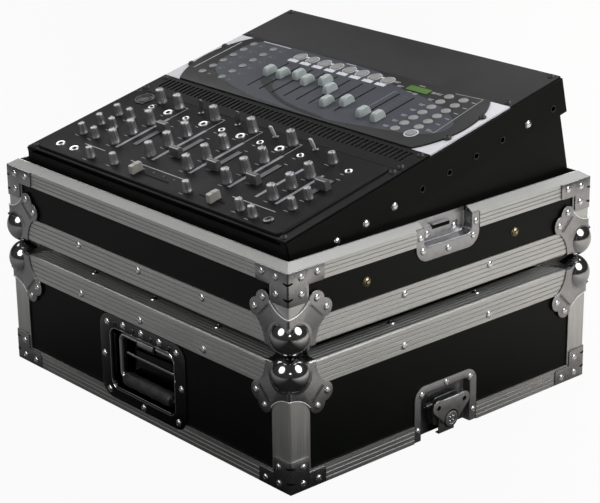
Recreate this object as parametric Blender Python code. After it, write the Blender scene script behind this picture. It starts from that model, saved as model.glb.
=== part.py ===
"""Mixer flight case: a sloped rack in a plywood tray, standing on its own lift-off lid.

Metres, +Z up. The origin is on the floor under the middle of the case, the front and its
handle face -Y, and the latches are on the +X and -X sides. The lid lies with its open side
down, and the base stands on the lid's ball corners.
"""
import math

import bmesh
import bpy
from mathutils import Matrix

# The rack that the case is built round: a 19 inch panel and its unit
PANEL_HALF = 0.2413
RACK_UNIT = 0.04445
RACK_UNITS = 10
RACK_SLOPE = 13.1

# Room round the rack, and the heights over the aluminium edging
PANEL_SIDE_ROOM = 0.0027
RAIL_SIDE_ROOM = 0.0205
RACK_BACK_ROOM = 0.033
RACK_FRONT_ROOM = 0.01707
RACK_FRONT_RISE = 0.02485
LID_HEIGHT = 0.150
BASE_HEIGHT = 0.0907

# Fits: a gap between pieces, a bite where shapes join, a hair off a face, and how far cuts overshoot
GAP = 0.0003
BITE = 0.0005
HAIR = 0.0002
BEYOND = 0.010
SAME = 1e-6

# Walls: laminated plywood behind an aluminium edge
EDGING_WALL = 0.0016
PLY = 0.008
EDGING_LEG = 0.030
CORNER_LEG = 0.0295
EDGE_ROUND = 0.002
GROOVE_DEPTH = 0.0006
GROOVE_WIDTH = 0.0016
EDGING_GROOVES = 4
LEG_LAP = 0.003
LEG_SKIN = 0.0001

# Tongue and groove rims
RIM_LEG_LID = 0.0215
RIM_LEG_BASE = 0.0187
RIM_GROOVES = 3
RIM_INNER_WALL = 0.0018
SLOPE_RUN = 0.0084
SLOPE_RISE = 0.0065
SLOPE_LIP = 0.0007
WEB = 0.0022
WEB_STEP = 0.001
TONGUE_RISE = 0.0005
TONGUE_WALL = 0.003
WALL_SEAT = 0.003

# Ball corners
BALL_RADIUS = 0.022
BALL_PROUD = 0.0096
PRESSING = 0.0012
PETAL_START = 0.008
PETAL_EDGE = 0.038
FOLD_SKIN = 0.00005
PETAL_SIDE_RADIUS = 0.036
PETAL_SIDE_END = 126.3
LOBE_CENTRE = (0.0503, 0.0393)
LOBE_RADIUS = 0.0117
LOBE_START = -62
LOBE_END = 84
NOTCH = 0.0509
BALL_RIVET = (0.0535, 0.0394)

# Corner braces
BRACE_ARM = 0.052
BRACE_ARM_HEIGHT = 0.019
BRACE_LEG = 0.0272
BRACE_HEIGHT = 0.039
BRACE_CUT = 0.003
BRACE_RIVETS = ((0.0175, 0.0084), (0.0405, 0.0077), (0.0178, 0.0281))

# Rivets
RIVET_RADIUS = 0.0043
RIVET_HEIGHT = 0.0018
HEAD_CROWN = 0.55
HEAD_SIDES = 6
EDGING_RIVET_INSET = 0.0215
FRONT_RIVET_PITCH = 0.118
SIDE_RIVET_OFFSET = 0.069

# Latch dishes on the lid
DISH_HALF = 0.051
DISH_TOP = 0.0683
DISH_ROUND = 0.0165
DISH_RECESS_HALF = 0.040
DISH_FLANGE = 0.0107
DISH_DEPTH = 0.0115
RECESS_ROUND = 0.008
FLOOR_CLEARANCE = 0.0008
DISH_RIVETS = ((-0.040, 0.058), (0.0, 0.063), (0.040, 0.058), (-0.0455, 0.014), (0.0455, 0.014))

# Butterfly latch
HUB_RADIUS = 0.010
HUB_HEIGHT = 0.0195
HUB_PROUD = 0.0098
SHAFT_RADIUS = 0.0042
SHAFT_DEPTH = 0.0075
HUB_CHAMFER = 0.0008
HUB_SIDES = 16
WING_WALL = 0.0015
WING_FRONT = 0.009
EAR_CENTRE = (0.021, 0.039)
EAR_RADIUS = 0.009
EAR_HOLE = 0.0032
WING_SADDLE = 0.0462
WING_FOOT_HALF = 0.0132
WING_FOOT_TAPER = 0.0007
WING_SADDLE_HALF = 0.0088
WING_FOOT = 0.0170
CLAW_HALF = 0.0127
CLAW_WALL = 0.0015
CLAW_PROUD = 0.001
CLAW_LIP = 0.0058
CLAW_TRAVEL = 0.009
CLAW_CROWN = 0.003
CARRIER_HALF = 0.021
CARRIER_TOP = 0.048
CARRIER_FOOT = 0.012
CARRIER_ROUND = 0.006

# Keeper dishes on the base
KEEPER_HALF = 0.0505
KEEPER_RECESS_HALF = 0.038
KEEPER_FLANGE_DROP = 0.0392
KEEPER_FLOOR_DROP = 0.0222
KEEPER_TAB_RISE = 0.0013
KEEPER_BACK_RISE = 0.0058
KEEPER_ROUND = 0.018
KEEPER_DEPTH = 0.0135
KEEPER_SLOT = (0.028, 0.006)
KEEPER_SLOT_DROP = 0.0062
KEEPER_HOOK = (0.032, 0.004)
KEEPER_RIVETS = (
    (-0.0443, -0.0102),
    (0.0443, -0.0102),
    (-0.0405, -0.0262),
    (0.0405, -0.0262),
    (0.0, -0.0317),
)
HOOK_RIVETS = ((-0.020, -0.0132), (0.020, -0.0132))

# Handle
HANDLE_HALF = 0.0825
HANDLE_BOTTOM = 0.0105
HANDLE_TOP_ROOM = 0.0007
HANDLE_ROUND = 0.020
HANDLE_STEPS = 4
HANDLE_RECESS_HALF = 0.060
HANDLE_RIM_BELOW = 0.016
HANDLE_RIM_ABOVE = 0.0178
HANDLE_DEPTH = 0.0205
HANDLE_UPPER_RIVETS = (
    (-0.067, 0.0118),
    (-0.035, 0.0078),
    (0.0, 0.0078),
    (0.035, 0.0078),
    (0.067, 0.0118),
)
HANDLE_LOWER_RIVETS = (
    (-0.0745, 0.054),
    (0.0745, 0.054),
    (-0.067, 0.0095),
    (0.0, 0.006),
    (0.067, 0.0095),
)
BAIL_RADIUS = 0.004
BAIL_HALF = 0.0535
BAIL_PIVOT_DROP = 0.007
BAIL_LOW_RISE = 0.011
BAIL_DEPTH = 0.0105
BAIL_ROUND = 0.008
GRIP_RADIUS = 0.009
GRIP_LENGTH = 0.090
GRIP_CHAMFER = 0.0015
GRIP_SIDES = 16
BRACKET_HALF = 0.017
BRACKET_ROUND = 0.0062

# Rack housing and rails
RAIL_WALL = 0.0015
RAIL_DEPTH = 0.0435
RAIL_FLANGE = 0.018
RAIL_HOLE_DEPTH = 0.0325
RAIL_HOLE_RADIUS = 0.0031
RAIL_SCREWS = (1, 6, 7, 8)
BOARD = 0.009
BOARD_BACK = 0.010
HOUSING_BACK_ROOM = 0.0165
CROSS_BOARD_RISE = 0.001
CROSS_BOARD_DROP = 0.003
BACK_RAIL_HEIGHT = 0.050
BOLT_PLACES = (0.112, -0.126)
BOLT_DROP = 0.0398
BOLT_RADIUS = 0.003
BOLT_SIDES = 8
BOLT_HEAD = (0.0052, 0.0032)
BOLT_CROWN = (0.6, 0.3)
SPACER_RADIUS = 0.009

# Rack units
PANEL_WALL = 0.002
PANEL_SPLIT = 0.0002
CHASSIS_RAIL_ROOM = 0.0038
CHASSIS_WALL = 0.0015
CHASSIS_MARGIN = 0.005
SCREW_EDGE = 0.00875
SCREW_INSET = 0.00635
SCREW_HEAD = (0.0042, 0.0022)
BLANK_LIP = 0.012
BLANK_LIP_INSET = 0.001

VENT_MARGIN = 0.0173
VENT_PITCH = 0.008
VENT_SLOT = (0.004, 0.021)
VENT_SLOT_MIDDLE = 0.0172

CONTROLLER_RAISE = 0.002
CONTROLLER_DEPTH = 0.070
CONTROLLER_END_MARGINS = (0.0303, 0.0063)
CONTROLLER_SIDE_MARGIN = 0.0015
BUTTON_SIZE = (0.0125, 0.0106)
RIGHT_KEY_SIZE = (0.0115, 0.0092)
BUTTON_RISE = 0.0018
LEFT_KEY_COLUMNS = (-0.1951, -0.1561)
LEFT_KEY_FIRST = 0.1063
LEFT_KEY_PITCH = 0.0178
LEFT_KEY_ROWS = 6
RIGHT_KEY_COLUMN = 0.1596
RIGHT_KEY_FIRST = 0.1057
RIGHT_KEY_PITCH = 0.0151
RIGHT_KEY_ROWS = 7
LAST_KEY_COLUMN = 0.183
LAST_KEY_FIRST = 0.1054
LAST_KEY_PITCH = 0.01506
LAST_KEY_ROWS = 6
ROUND_KEY = (0.1855, 0.196)
ROUND_KEY_RADIUS = 0.0068
SCENE_KEY_LINE = 0.1057
SCENE_KEY_RADIUS = 0.0078
ROUND_KEY_SIDES = 8
FINGER_SLOT_START = 0.1266
FINGER_SLOT_END = 0.197
FINGER_SLOT_WIDTH = 0.0026
FINGER_CAP = (0.008, 0.0175, 0.012)
FINGER_CENTRES = (0.158, 0.156, 0.149, 0.156, 0.146, 0.160, 0.187, 0.175, 0.1875, 0.1875)
FINGER_STEM_DEPTH = 0.010
FINGER_STEPS = 7
STEM_HALF_LENGTH = 0.002
SCENE_FIRST = -0.1045
SCENE_PITCH = 0.0229
SCENE_SLIDERS = 8
SPEED_SLIDERS = (0.0971, 0.1221)
SCREEN = (0.0908, 0.1299, 0.0991, 0.1148)
SCREEN_SINK = 0.0006

MIXER_RAISE = 0.0033
MIXER_DEPTH = 0.085
MIXER_FACE_SIDE_MARGIN = 0.0138
MIXER_FACE_MARGIN = 0.0035
MIXER_FRONT_ROOM = 0.010
MIXER_FACE_ROUND = 0.008
MIXER_BEVEL = 0.0022
MIXER_SHIFT = (0.0052, 0.0038)
KNOB_RADIUS = (0.0054, 0.0043)
KNOB_RISE = 0.0205
SMALL_KNOB_RADIUS = (0.0046, 0.0037)
SMALL_KNOB_RISE = 0.015
KNOB_SIDES = 6
KNOB_ROWS = (0.3267, 0.355, 0.3833)
SMALL_KNOB_ROWS = (0.3297, 0.3579, 0.386)
KNOB_COLUMNS = (-0.1387, -0.0674, 0.0038, 0.075, 0.1545)
SMALL_KNOB_COLUMNS = (-0.2007, -0.175)
GAIN_COLUMNS = (-0.175, -0.140, -0.069, 0.002, 0.073)
GAIN_ROW = 0.280
EXTRA_KNOBS = ((0.1525, 0.2895), (0.191, 0.363), (0.192, 0.388))
FRONT_KNOBS = ((-0.1353, 0.423), (-0.0937, 0.419), (0.048, 0.421), (0.139, 0.419), (0.165, 0.423))
TOGGLES = ((-0.1003, 0.278), (-0.0303, 0.278), (0.0397, 0.278), (0.1097, 0.278))
CUE_BUTTONS = ((-0.142, 0.297), (-0.0727, 0.297), (-0.0027, 0.297), (0.068, 0.297))
SMALL_BUTTON_COLUMNS = (-0.176, -0.107, -0.038, 0.033, 0.104, 0.1853)
SMALL_BUTTON_ROW = 0.2967
TALK_BUTTONS = ((-0.2028, 0.420), (-0.1745, 0.420))
CUE_RADIUS = (0.0062, 0.0052)
CUE_RISE = 0.0045
SMALL_BUTTON_RADIUS = (0.0048, 0.0038)
SMALL_BUTTON_RISE = 0.003
TOGGLE_RADIUS = (0.0016, 0.0022)
TOGGLE_RISE = 0.010
JACK = (0.188, 0.4207)
JACK_RADIUS = 0.00315
MICROPHONE_SOCKET = (-0.205, 0.285)
MICROPHONE_RADIUS = 0.012
SOCKET_DEPTH = 0.002
FADER_SLOT = (0.3285, 0.3785)
FADER_SLOT_WIDTH = 0.0024
FADER_CAP = (0.018, 0.008, 0.015)
FADER_STEM_DEPTH = 0.010
FADER_PLACES = (-0.1007, -0.0305, 0.0395, 0.1099)
FADER_CENTRES = (0.336, 0.3725, 0.3725, 0.3725)
MASTER_SLOT = (0.325, 0.359)
MASTER_PLACE = (0.194, 0.343)
CROSS_SLOT = (-0.060, 0.016)
CROSS_LINE = 0.4235
CROSS_CENTRE = -0.0445
CROSS_CAP = (0.006, 0.0165, 0.018)
CURVE_CAP = (0.099, 0.4235)
CAP_TAPER = 0.12

# Panel width and unit that the places of the controls are read for
LAYOUT_HALF = 0.2413
LAYOUT_UNIT = 0.04445

# Places across the case where the petals, braces and legs are repeated
QUARTER_TURNS = (0, 90, 180, 270)

# How far a quarter round's middle lies inside its corner, for a radius of 1
ROUND_SHOULDER = 1 - math.sqrt(0.5)

# Sizes that follow
RACK_TURN = math.radians(RACK_SLOPE)
RACK_LENGTH = RACK_UNIT * RACK_UNITS
RAIL_OUTER = PANEL_HALF + PANEL_SIDE_ROOM
CASE_WIDTH = 2 * (RAIL_OUTER + RAIL_SIDE_ROOM)
CASE_DEPTH = RACK_BACK_ROOM + RACK_LENGTH * math.cos(RACK_TURN) + RACK_FRONT_ROOM
BASE_FLOOR = LID_HEIGHT + 2 * BALL_PROUD + GAP
BASE_RIM = BASE_FLOOR + BASE_HEIGHT
LAMINATE = EDGING_WALL + GAP
WALL_INSIDE = LAMINATE + PLY
RIM_INSIDE = WALL_INSIDE + GAP + RIM_INNER_WALL
LID_WALL_FOOT = SLOPE_RISE + WALL_SEAT
TRAY_WALL_TOP = BASE_RIM - WEB + GAP
TRAY_FLOOR = BASE_FLOOR + LAMINATE + PLY
RACK_TOP = (
    CASE_DEPTH / 2 - RACK_BACK_ROOM,
    BASE_RIM + RACK_FRONT_RISE + RACK_LENGTH * math.sin(RACK_TURN),
)
HANDLE_TOP = LID_HEIGHT - EDGING_LEG - HANDLE_TOP_ROOM
HANDLE_RECESS = (HANDLE_BOTTOM + HANDLE_RIM_BELOW, HANDLE_TOP - HANDLE_RIM_ABOVE)
BAIL_PIVOT_HEIGHT = HANDLE_RECESS[1] - BAIL_PIVOT_DROP
BAIL_LOW_HEIGHT = HANDLE_RECESS[0] + BAIL_LOW_RISE
HOUSING_BACK = CASE_DEPTH / 2 - HOUSING_BACK_ROOM
BOARD_OUTER = RAIL_OUTER - RAIL_WALL - GAP
BOARD_INNER = BOARD_OUTER - BOARD
BOARD_TOP = PANEL_WALL + RAIL_WALL + 2 * GAP
CHASSIS_HALF = RAIL_OUTER - RAIL_FLANGE - CHASSIS_RAIL_ROOM
SCREW_HALF = PANEL_HALF - SCREW_EDGE
VENT_SLOTS = round(2 * (PANEL_HALF - VENT_MARGIN) / VENT_PITCH)
MIXER_FACE_HALF = PANEL_HALF - MIXER_FACE_SIDE_MARGIN

# Backs and fronts of the flanges that are riveted on the walls, outward from the edging's face
FLANGE_BACK = GAP - LAMINATE
FLANGE_FRONT = FLANGE_BACK + PRESSING

# Turns that take a flange drawn on the top plane to the three planes of a corner, and its signs there
CORNER_FACES = (((0, 0, 0), -1, -1), ((90, 0, 180), 1, -1), ((90, 0, 90), -1, -1))

COLOURS = {
    "laminate": ((0.008, 0.009, 0.008), 0.42, 0.0),
    "aluminium": ((0.55, 0.55, 0.55), 0.38, 1.0),
    "chrome": ((0.78, 0.78, 0.80), 0.12, 1.0),
    "black_chrome": ((0.06, 0.06, 0.065), 0.18, 1.0),
    "zinc_steel": ((0.42, 0.42, 0.43), 0.32, 1.0),
    "black_steel": ((0.012, 0.012, 0.013), 0.45, 0.0),
    "black_plywood": ((0.010, 0.010, 0.010), 0.6, 0.0),
    "panel_black": ((0.035, 0.035, 0.037), 0.45, 0.0),
    "panel_grey": ((0.065, 0.065, 0.070), 0.42, 0.0),
    "rubber": ((0.010, 0.010, 0.010), 0.6, 0.0),
    "slider_grey": ((0.42, 0.46, 0.45), 0.35, 0.0),
    "fader_grey": ((0.30, 0.30, 0.30), 0.35, 0.0),
}


def clear_scene():
    for thing in list(bpy.data.objects):
        bpy.data.objects.remove(thing, do_unlink=True)


clear_scene()
PARTS = bpy.data.collections.new("mixer_flight_case")
CUTTERS = bpy.data.collections.new("cutters")
bpy.context.scene.collection.children.link(PARTS)
bpy.context.scene.collection.children.link(CUTTERS)


def material(name):
    found = bpy.data.materials.get(name)
    if found:
        return found
    colour, roughness, metallic = COLOURS[name]
    made = bpy.data.materials.new(name)
    made.use_nodes = True
    shader = made.node_tree.nodes["Principled BSDF"]
    shader.inputs["Base Color"].default_value = (*colour, 1)
    shader.inputs["Roughness"].default_value = roughness
    shader.inputs["Metallic"].default_value = metallic
    made.diffuse_color = (*colour, 1)
    return made


def mesh_from(shape, name):
    """Turns a bmesh into a mesh with its faces pointing out."""
    bmesh.ops.recalc_face_normals(shape, faces=shape.faces)
    mesh = bpy.data.meshes.new(name)
    shape.to_mesh(mesh)
    shape.free()
    return mesh


def piece(name, shape, finish, parent=None, place=(0, 0, 0), turn=(0, 0, 0)):
    """A named part, from a bmesh or from another part's mesh."""
    mesh = shape if isinstance(shape, bpy.types.Mesh) else mesh_from(shape, name)
    if not mesh.materials:
        mesh.materials.append(material(finish))
    made = bpy.data.objects.new(name, mesh)
    made.location = place
    made.rotation_euler = [math.radians(angle) for angle in turn]
    made.parent = parent
    PARTS.objects.link(made)
    return made


def guide(name, place, turn=(0, 0, 0), parent=None):
    made = bpy.data.objects.new(name, None)
    made.location = place
    made.rotation_euler = [math.radians(angle) for angle in turn]
    made.parent = parent
    made.empty_display_size = 0.02
    PARTS.objects.link(made)
    return made


def helper(name, shape, parent=None):
    """A shape that only cuts or joins, drawn as wire and left out of the render."""
    made = bpy.data.objects.new(name, mesh_from(shape, name))
    made.parent = parent
    made.hide_render = True
    made.display_type = "WIRE"
    CUTTERS.objects.link(made)
    return made


def boolean(target, tool, operation):
    step = target.modifiers.new(f"{operation.lower()}_{tool.name}", "BOOLEAN")
    step.object = tool
    step.operation = operation
    step.solver = "EXACT"


def cut(target, shape, name, parent=None):
    boolean(target, helper(name, shape, parent or target.parent), "DIFFERENCE")


def join(target, shape, name, parent=None):
    boolean(target, helper(name, shape, parent or target.parent), "UNION")


def merged(*shapes):
    """Several closed shapes in one bmesh."""
    whole = bmesh.new()
    for shape in shapes:
        mesh = bpy.data.meshes.new("part_shape")
        shape.to_mesh(mesh)
        shape.free()
        whole.from_mesh(mesh)
        bpy.data.meshes.remove(mesh)
    return whole


def box(low, high):
    """A block between two corners."""
    shape = bmesh.new()
    bmesh.ops.create_cube(shape, size=1)
    size = [top - bottom for bottom, top in zip(low, high)]
    middle = [(top + bottom) / 2 for bottom, top in zip(low, high)]
    shape.transform(Matrix.Translation(middle) @ Matrix.Diagonal((*size, 1)))
    return shape


def drum(radius, low, high, place=(0, 0), sides=12, top_radius=None):
    """A round block or a cone along local Z."""
    shape = bmesh.new()
    bmesh.ops.create_cone(
        shape,
        cap_ends=True,
        segments=sides,
        radius1=radius,
        radius2=radius if top_radius is None else top_radius,
        depth=high - low,
    )
    shape.transform(Matrix.Translation((place[0], place[1], (low + high) / 2)))
    return shape


def arc(centre, radius, start, end, steps):
    """Points on a circle, angles in degrees."""
    angles = [math.radians(start + (end - start) * step / steps) for step in range(steps + 1)]
    return [(centre[0] + radius * math.cos(a), centre[1] + radius * math.sin(a)) for a in angles]


def rounded(half, low, high, radius, steps=3, round_bottom=True, round_top=True):
    """Outline of a rectangle from -half to half and low to high."""
    outline = []
    for x_sign, y_edge, start, is_round in (
        (1, low, -90, round_bottom),
        (1, high, 0, round_top),
        (-1, high, 90, round_top),
        (-1, low, 180, round_bottom),
    ):
        if not is_round:
            outline.append((x_sign * half, y_edge))
            continue
        inward = radius if y_edge == low else -radius
        centre = (x_sign * (half - radius), y_edge + inward)
        outline += arc(centre, radius, start, start + 90, steps)
    return outline


def slab(outlines, low, high):
    """A flat outline with any holes, thick from low to high along local Z."""
    curve = bpy.data.curves.new("outline", "CURVE")
    curve.dimensions = "2D"
    curve.fill_mode = "BOTH"
    curve.extrude = (high - low) / 2
    for points in outlines:
        spline = curve.splines.new("POLY")
        spline.points.add(len(points) - 1)
        for corner, (x, y) in zip(spline.points, points):
            corner.co = (x, y, 0, 1)
        spline.use_cyclic_u = True
    holder = bpy.data.objects.new("outline", curve)
    bpy.context.scene.collection.objects.link(holder)
    seen = holder.evaluated_get(bpy.context.evaluated_depsgraph_get())
    mesh = bpy.data.meshes.new_from_object(seen)
    bpy.data.objects.remove(holder)
    shape = bmesh.new()
    shape.from_mesh(mesh)
    bpy.data.meshes.remove(mesh)
    bmesh.ops.remove_doubles(shape, verts=shape.verts, dist=SAME)
    shape.transform(Matrix.Translation((0, 0, (low + high) / 2)))
    return shape


def carried(profile, stations, closed):
    """A profile of (inset, height) points carried past stations of (x, y, inward x, inward y)."""
    shape = bmesh.new()
    rows = []
    for x, y, inward_x, inward_y in stations:
        row = [shape.verts.new((x + u * inward_x, y + u * inward_y, z)) for u, z in profile]
        rows.append(row)
    pairs = list(zip(rows, rows[1:]))
    if closed:
        pairs.append((rows[-1], rows[0]))
    count = len(profile)
    for first, second in pairs:
        for index in range(count):
            after = (index + 1) % count
            shape.faces.new((first[index], first[after], second[after], second[index]))
    if not closed:
        shape.faces.new(rows[0])
        shape.faces.new(rows[-1])
    return shape


def all_round():
    half_w = CASE_WIDTH / 2
    half_d = CASE_DEPTH / 2
    return [
        (half_w, -half_d, -1, 1),
        (half_w, half_d, -1, -1),
        (-half_w, half_d, 1, -1),
        (-half_w, -half_d, 1, 1),
    ]


def half_round(side, stop):
    """From one side wall's stop, round the front (-1) or back (+1), to the other side's stop."""
    half_w = CASE_WIDTH / 2
    half_d = CASE_DEPTH / 2
    return [
        (half_w, side * stop, -1, 0),
        (half_w, side * half_d, -1, -side),
        (-half_w, side * half_d, 1, -side),
        (-half_w, side * stop, 1, 0),
    ]


def grooved(start, end, grooves):
    """Heights along a face, with a V groove at even steps: (depth, position) points."""
    points = [(0, start)]
    direction = 1 if end > start else -1
    for index in range(grooves):
        middle = start + (end - start) * (index + 1) / (grooves + 1)
        points.append((0, middle - direction * GROOVE_WIDTH / 2))
        points.append((GROOVE_DEPTH, middle))
        points.append((0, middle + direction * GROOVE_WIDTH / 2))
    points.append((0, end))
    return points


def rivet(radius=RIVET_RADIUS, height=RIVET_HEIGHT, place=(0, 0), seat=0, foot=BITE):
    """A rivet or screw head standing on local z = seat, sunk by its foot to join."""
    crown = HEAD_CROWN * radius
    return drum(radius, seat - foot, seat + height, place, HEAD_SIDES, crown)


def moved(shape, place=(0, 0, 0), turn=(0, 0, 0)):
    """Turned about X, Y, Z in degrees, then moved."""
    turning = Matrix.Identity(4)
    for angle, axis in zip(turn, "XYZ"):
        turning = Matrix.Rotation(math.radians(angle), 4, axis) @ turning
    shape.transform(Matrix.Translation(place) @ turning)
    return shape


def smooth(target, angle=35):
    target.data.shade_smooth()
    target.data.set_sharp_from_angle(angle=math.radians(angle))


def turned(profile, sides, closed=False):
    """A profile of (radius, height) points spun round local Z, its ends closed flat."""
    shape = bmesh.new()
    points = [shape.verts.new((radius, 0, height)) for radius, height in profile]
    pairs = list(zip(points, points[1:]))
    if closed:
        pairs.append((points[-1], points[0]))
    edges = [shape.edges.new(pair) for pair in pairs]
    bmesh.ops.spin(
        shape, geom=points + edges, cent=(0, 0, 0), axis=(0, 0, 1), angle=2 * math.pi, steps=sides
    )
    bmesh.ops.remove_doubles(shape, verts=shape.verts, dist=SAME)
    rims = [edge for edge in shape.edges if edge.is_boundary]
    if rims:
        bmesh.ops.holes_fill(shape, edges=rims, sides=0)
    return shape


def settled(target):
    """The mesh of an object once its joins and cuts are made; the object itself goes."""
    bpy.context.view_layer.update()
    seen = target.evaluated_get(bpy.context.evaluated_depsgraph_get())
    mesh = bpy.data.meshes.new_from_object(seen)
    mesh.materials.clear()
    tools = [step.object for step in target.modifiers]
    for thing in [target, *tools]:
        bpy.data.objects.remove(thing)
    return mesh


def on_face(shape, angle):
    """A shape drawn (across, up, outward), put on the front (0), right (90), back or left face."""
    reach = CASE_DEPTH / 2 if angle in (0, 180) else CASE_WIDTH / 2
    turn = math.radians(angle)
    return moved(shape, (reach * math.sin(turn), -reach * math.cos(turn), 0), (90, 0, angle))


def corner_place(angle):
    """The case's corner that lies an angle round from the one at +X, +Y."""
    turn = math.radians(angle + 45)
    return (
        math.copysign(CASE_WIDTH / 2, math.cos(turn)),
        math.copysign(CASE_DEPTH / 2, math.sin(turn)),
    )


# Edging


def edging_profile(edge, direction):
    """L section, grooved outside, its edge rounded: (inset, height) points."""
    side = grooved(EDGING_LEG, EDGE_ROUND, EDGING_GROOVES)
    flat = grooved(EDGE_ROUND, EDGING_LEG, EDGING_GROOVES)
    shoulder = EDGE_ROUND * ROUND_SHOULDER
    points = [(depth, reach) for depth, reach in side]
    points.append((shoulder, shoulder))
    points += [(reach, depth) for depth, reach in flat]
    points += [(EDGING_LEG, EDGING_WALL), (EDGING_WALL, EDGING_WALL), (EDGING_WALL, EDGING_LEG)]
    return [(inset, edge + direction * drop) for inset, drop in points]


def corner_leg(low, high):
    """L section standing in the corner, a hair inside the ring's faces so that the two join."""
    shoulder = EDGE_ROUND * ROUND_SHOULDER + LEG_SKIN
    back = EDGING_WALL - LEG_SKIN
    outline = [
        (-CORNER_LEG, -LEG_SKIN),
        (-EDGE_ROUND, -LEG_SKIN),
        (-shoulder, -shoulder),
        (-LEG_SKIN, -EDGE_ROUND),
        (-LEG_SKIN, -CORNER_LEG),
        (-back, -CORNER_LEG),
        (-back, -back),
        (-CORNER_LEG, -back),
    ]
    return slab([outline], low, high)


def edging_frame(name, edge, direction, leg_end):
    frame = piece(name, carried(edging_profile(edge, direction), all_round(), True), "aluminium")
    leg_start = edge + direction * (EDGING_LEG - LEG_LAP)
    low, high = sorted((leg_start, leg_end))
    legs = [
        moved(corner_leg(low, high), (*corner_place(turn), 0), (0, 0, turn)) for turn in QUARTER_TURNS
    ]
    join(frame, merged(*legs), f"{name}_legs")
    heads = []
    for angle in QUARTER_TURNS:
        on_front = angle in (0, 180)
        places = (
            (-FRONT_RIVET_PITCH, 0, FRONT_RIVET_PITCH)
            if on_front
            else (-SIDE_RIVET_OFFSET, SIDE_RIVET_OFFSET)
        )
        for across in places:
            level = edge + direction * EDGING_RIVET_INSET
            heads.append(on_face(rivet(place=(across, level)), angle))
    join(frame, merged(*heads), f"{name}_rivets")
    return frame


# Rims


def groove_rim_profile():
    """Lid rim: a flat foot on the floor, a slope into the groove, two legs that hold the wall."""
    top_of_slope = EDGING_WALL + SLOPE_RUN
    points = [(depth, height) for depth, height in grooved(RIM_LEG_LID, 0, RIM_GROOVES)]
    points += [
        (EDGING_WALL, 0),
        (top_of_slope, SLOPE_RISE),
        (RIM_INSIDE, SLOPE_RISE + SLOPE_LIP),
        (RIM_INSIDE, RIM_LEG_LID),
        (RIM_INSIDE - RIM_INNER_WALL, RIM_LEG_LID),
        (RIM_INSIDE - RIM_INNER_WALL, SLOPE_RISE + WEB),
        (EDGING_WALL, WEB + WEB_STEP),
        (EDGING_WALL, RIM_LEG_LID),
    ]
    return points


def tongue_rim_profile():
    """Base rim: a slope up to a flat tongue, and two legs that hold the wall."""
    foot = BASE_RIM - RIM_LEG_BASE
    tongue = BASE_RIM + SLOPE_RISE + TONGUE_RISE
    inner = RIM_INSIDE - RIM_INNER_WALL
    points = [(depth, height) for depth, height in grooved(foot, BASE_RIM, RIM_GROOVES)]
    points += [
        (inner, tongue),
        (RIM_INSIDE, tongue),
        (RIM_INSIDE, foot),
        (inner, foot),
        (inner, tongue - TONGUE_WALL),
        (inner - EDGING_WALL, tongue - TONGUE_WALL),
        (EDGING_WALL, TRAY_WALL_TOP + GAP),
        (EDGING_WALL, foot),
    ]
    return points


def rim_half(name, profile, side, stop, leg_stop, low, high):
    """Half of a rim between the two side recesses; its grooved leg stops earlier."""
    half = piece(name, carried(profile, half_round(side, stop), False), "aluminium")
    trims = [
        on_face(box((-leg_stop, low, -LAMINATE), (leg_stop, high, BEYOND)), angle)
        for angle in (90, 270)
    ]
    cut(half, merged(*trims), f"{name}_trim")
    return half


def rims():
    dish_stop = DISH_RECESS_HALF + PRESSING + GAP
    keeper_stop = KEEPER_RECESS_HALF + PRESSING + GAP
    for place, side in (("front", -1), ("back", 1)):
        lid = rim_half(
            f"lid_rim_{place}",
            groove_rim_profile(),
            side,
            dish_stop,
            DISH_HALF + GAP,
            -BEYOND,
            RIM_LEG_LID + BEYOND,
        )
        if side < 0:
            notch = rounded(
                HANDLE_HALF + GAP,
                HANDLE_BOTTOM - GAP,
                HANDLE_TOP + GAP,
                HANDLE_ROUND + GAP,
                HANDLE_STEPS,
            )
            cut(lid, on_face(slab([notch], -LAMINATE, BEYOND), 0), "lid_rim_handle_notch")
        rim_half(
            f"base_rim_{place}",
            tongue_rim_profile(),
            side,
            keeper_stop,
            KEEPER_HALF + GAP,
            BASE_RIM - RIM_LEG_BASE - BEYOND,
            BASE_RIM + KEEPER_TAB_RISE + GAP,
        )


# Plywood shells


def wall_box(inset, low, high):
    half_w = CASE_WIDTH / 2 - inset
    half_d = CASE_DEPTH / 2 - inset
    return box((-half_w, -half_d, low), (half_w, half_d, high))


def lid_shell():
    shell = piece(
        "lid_shell", wall_box(LAMINATE, LID_WALL_FOOT, LID_HEIGHT - LAMINATE), "laminate"
    )
    cut(shell, wall_box(WALL_INSIDE, -BEYOND, LID_HEIGHT - WALL_INSIDE), "lid_hollow")
    through = -WALL_INSIDE - BEYOND
    half = DISH_RECESS_HALF + PRESSING + GAP
    top = DISH_TOP - DISH_FLANGE + PRESSING + GAP
    notches = [
        on_face(box((-half, -BEYOND, through), (half, top, BEYOND)), angle) for angle in (90, 270)
    ]
    half = HANDLE_RECESS_HALF + PRESSING + GAP
    low, high = HANDLE_RECESS
    window = box((-half, low - PRESSING - GAP, through), (half, high + PRESSING + GAP, BEYOND))
    cut(shell, merged(*notches, on_face(window, 0)), "lid_openings")


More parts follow.
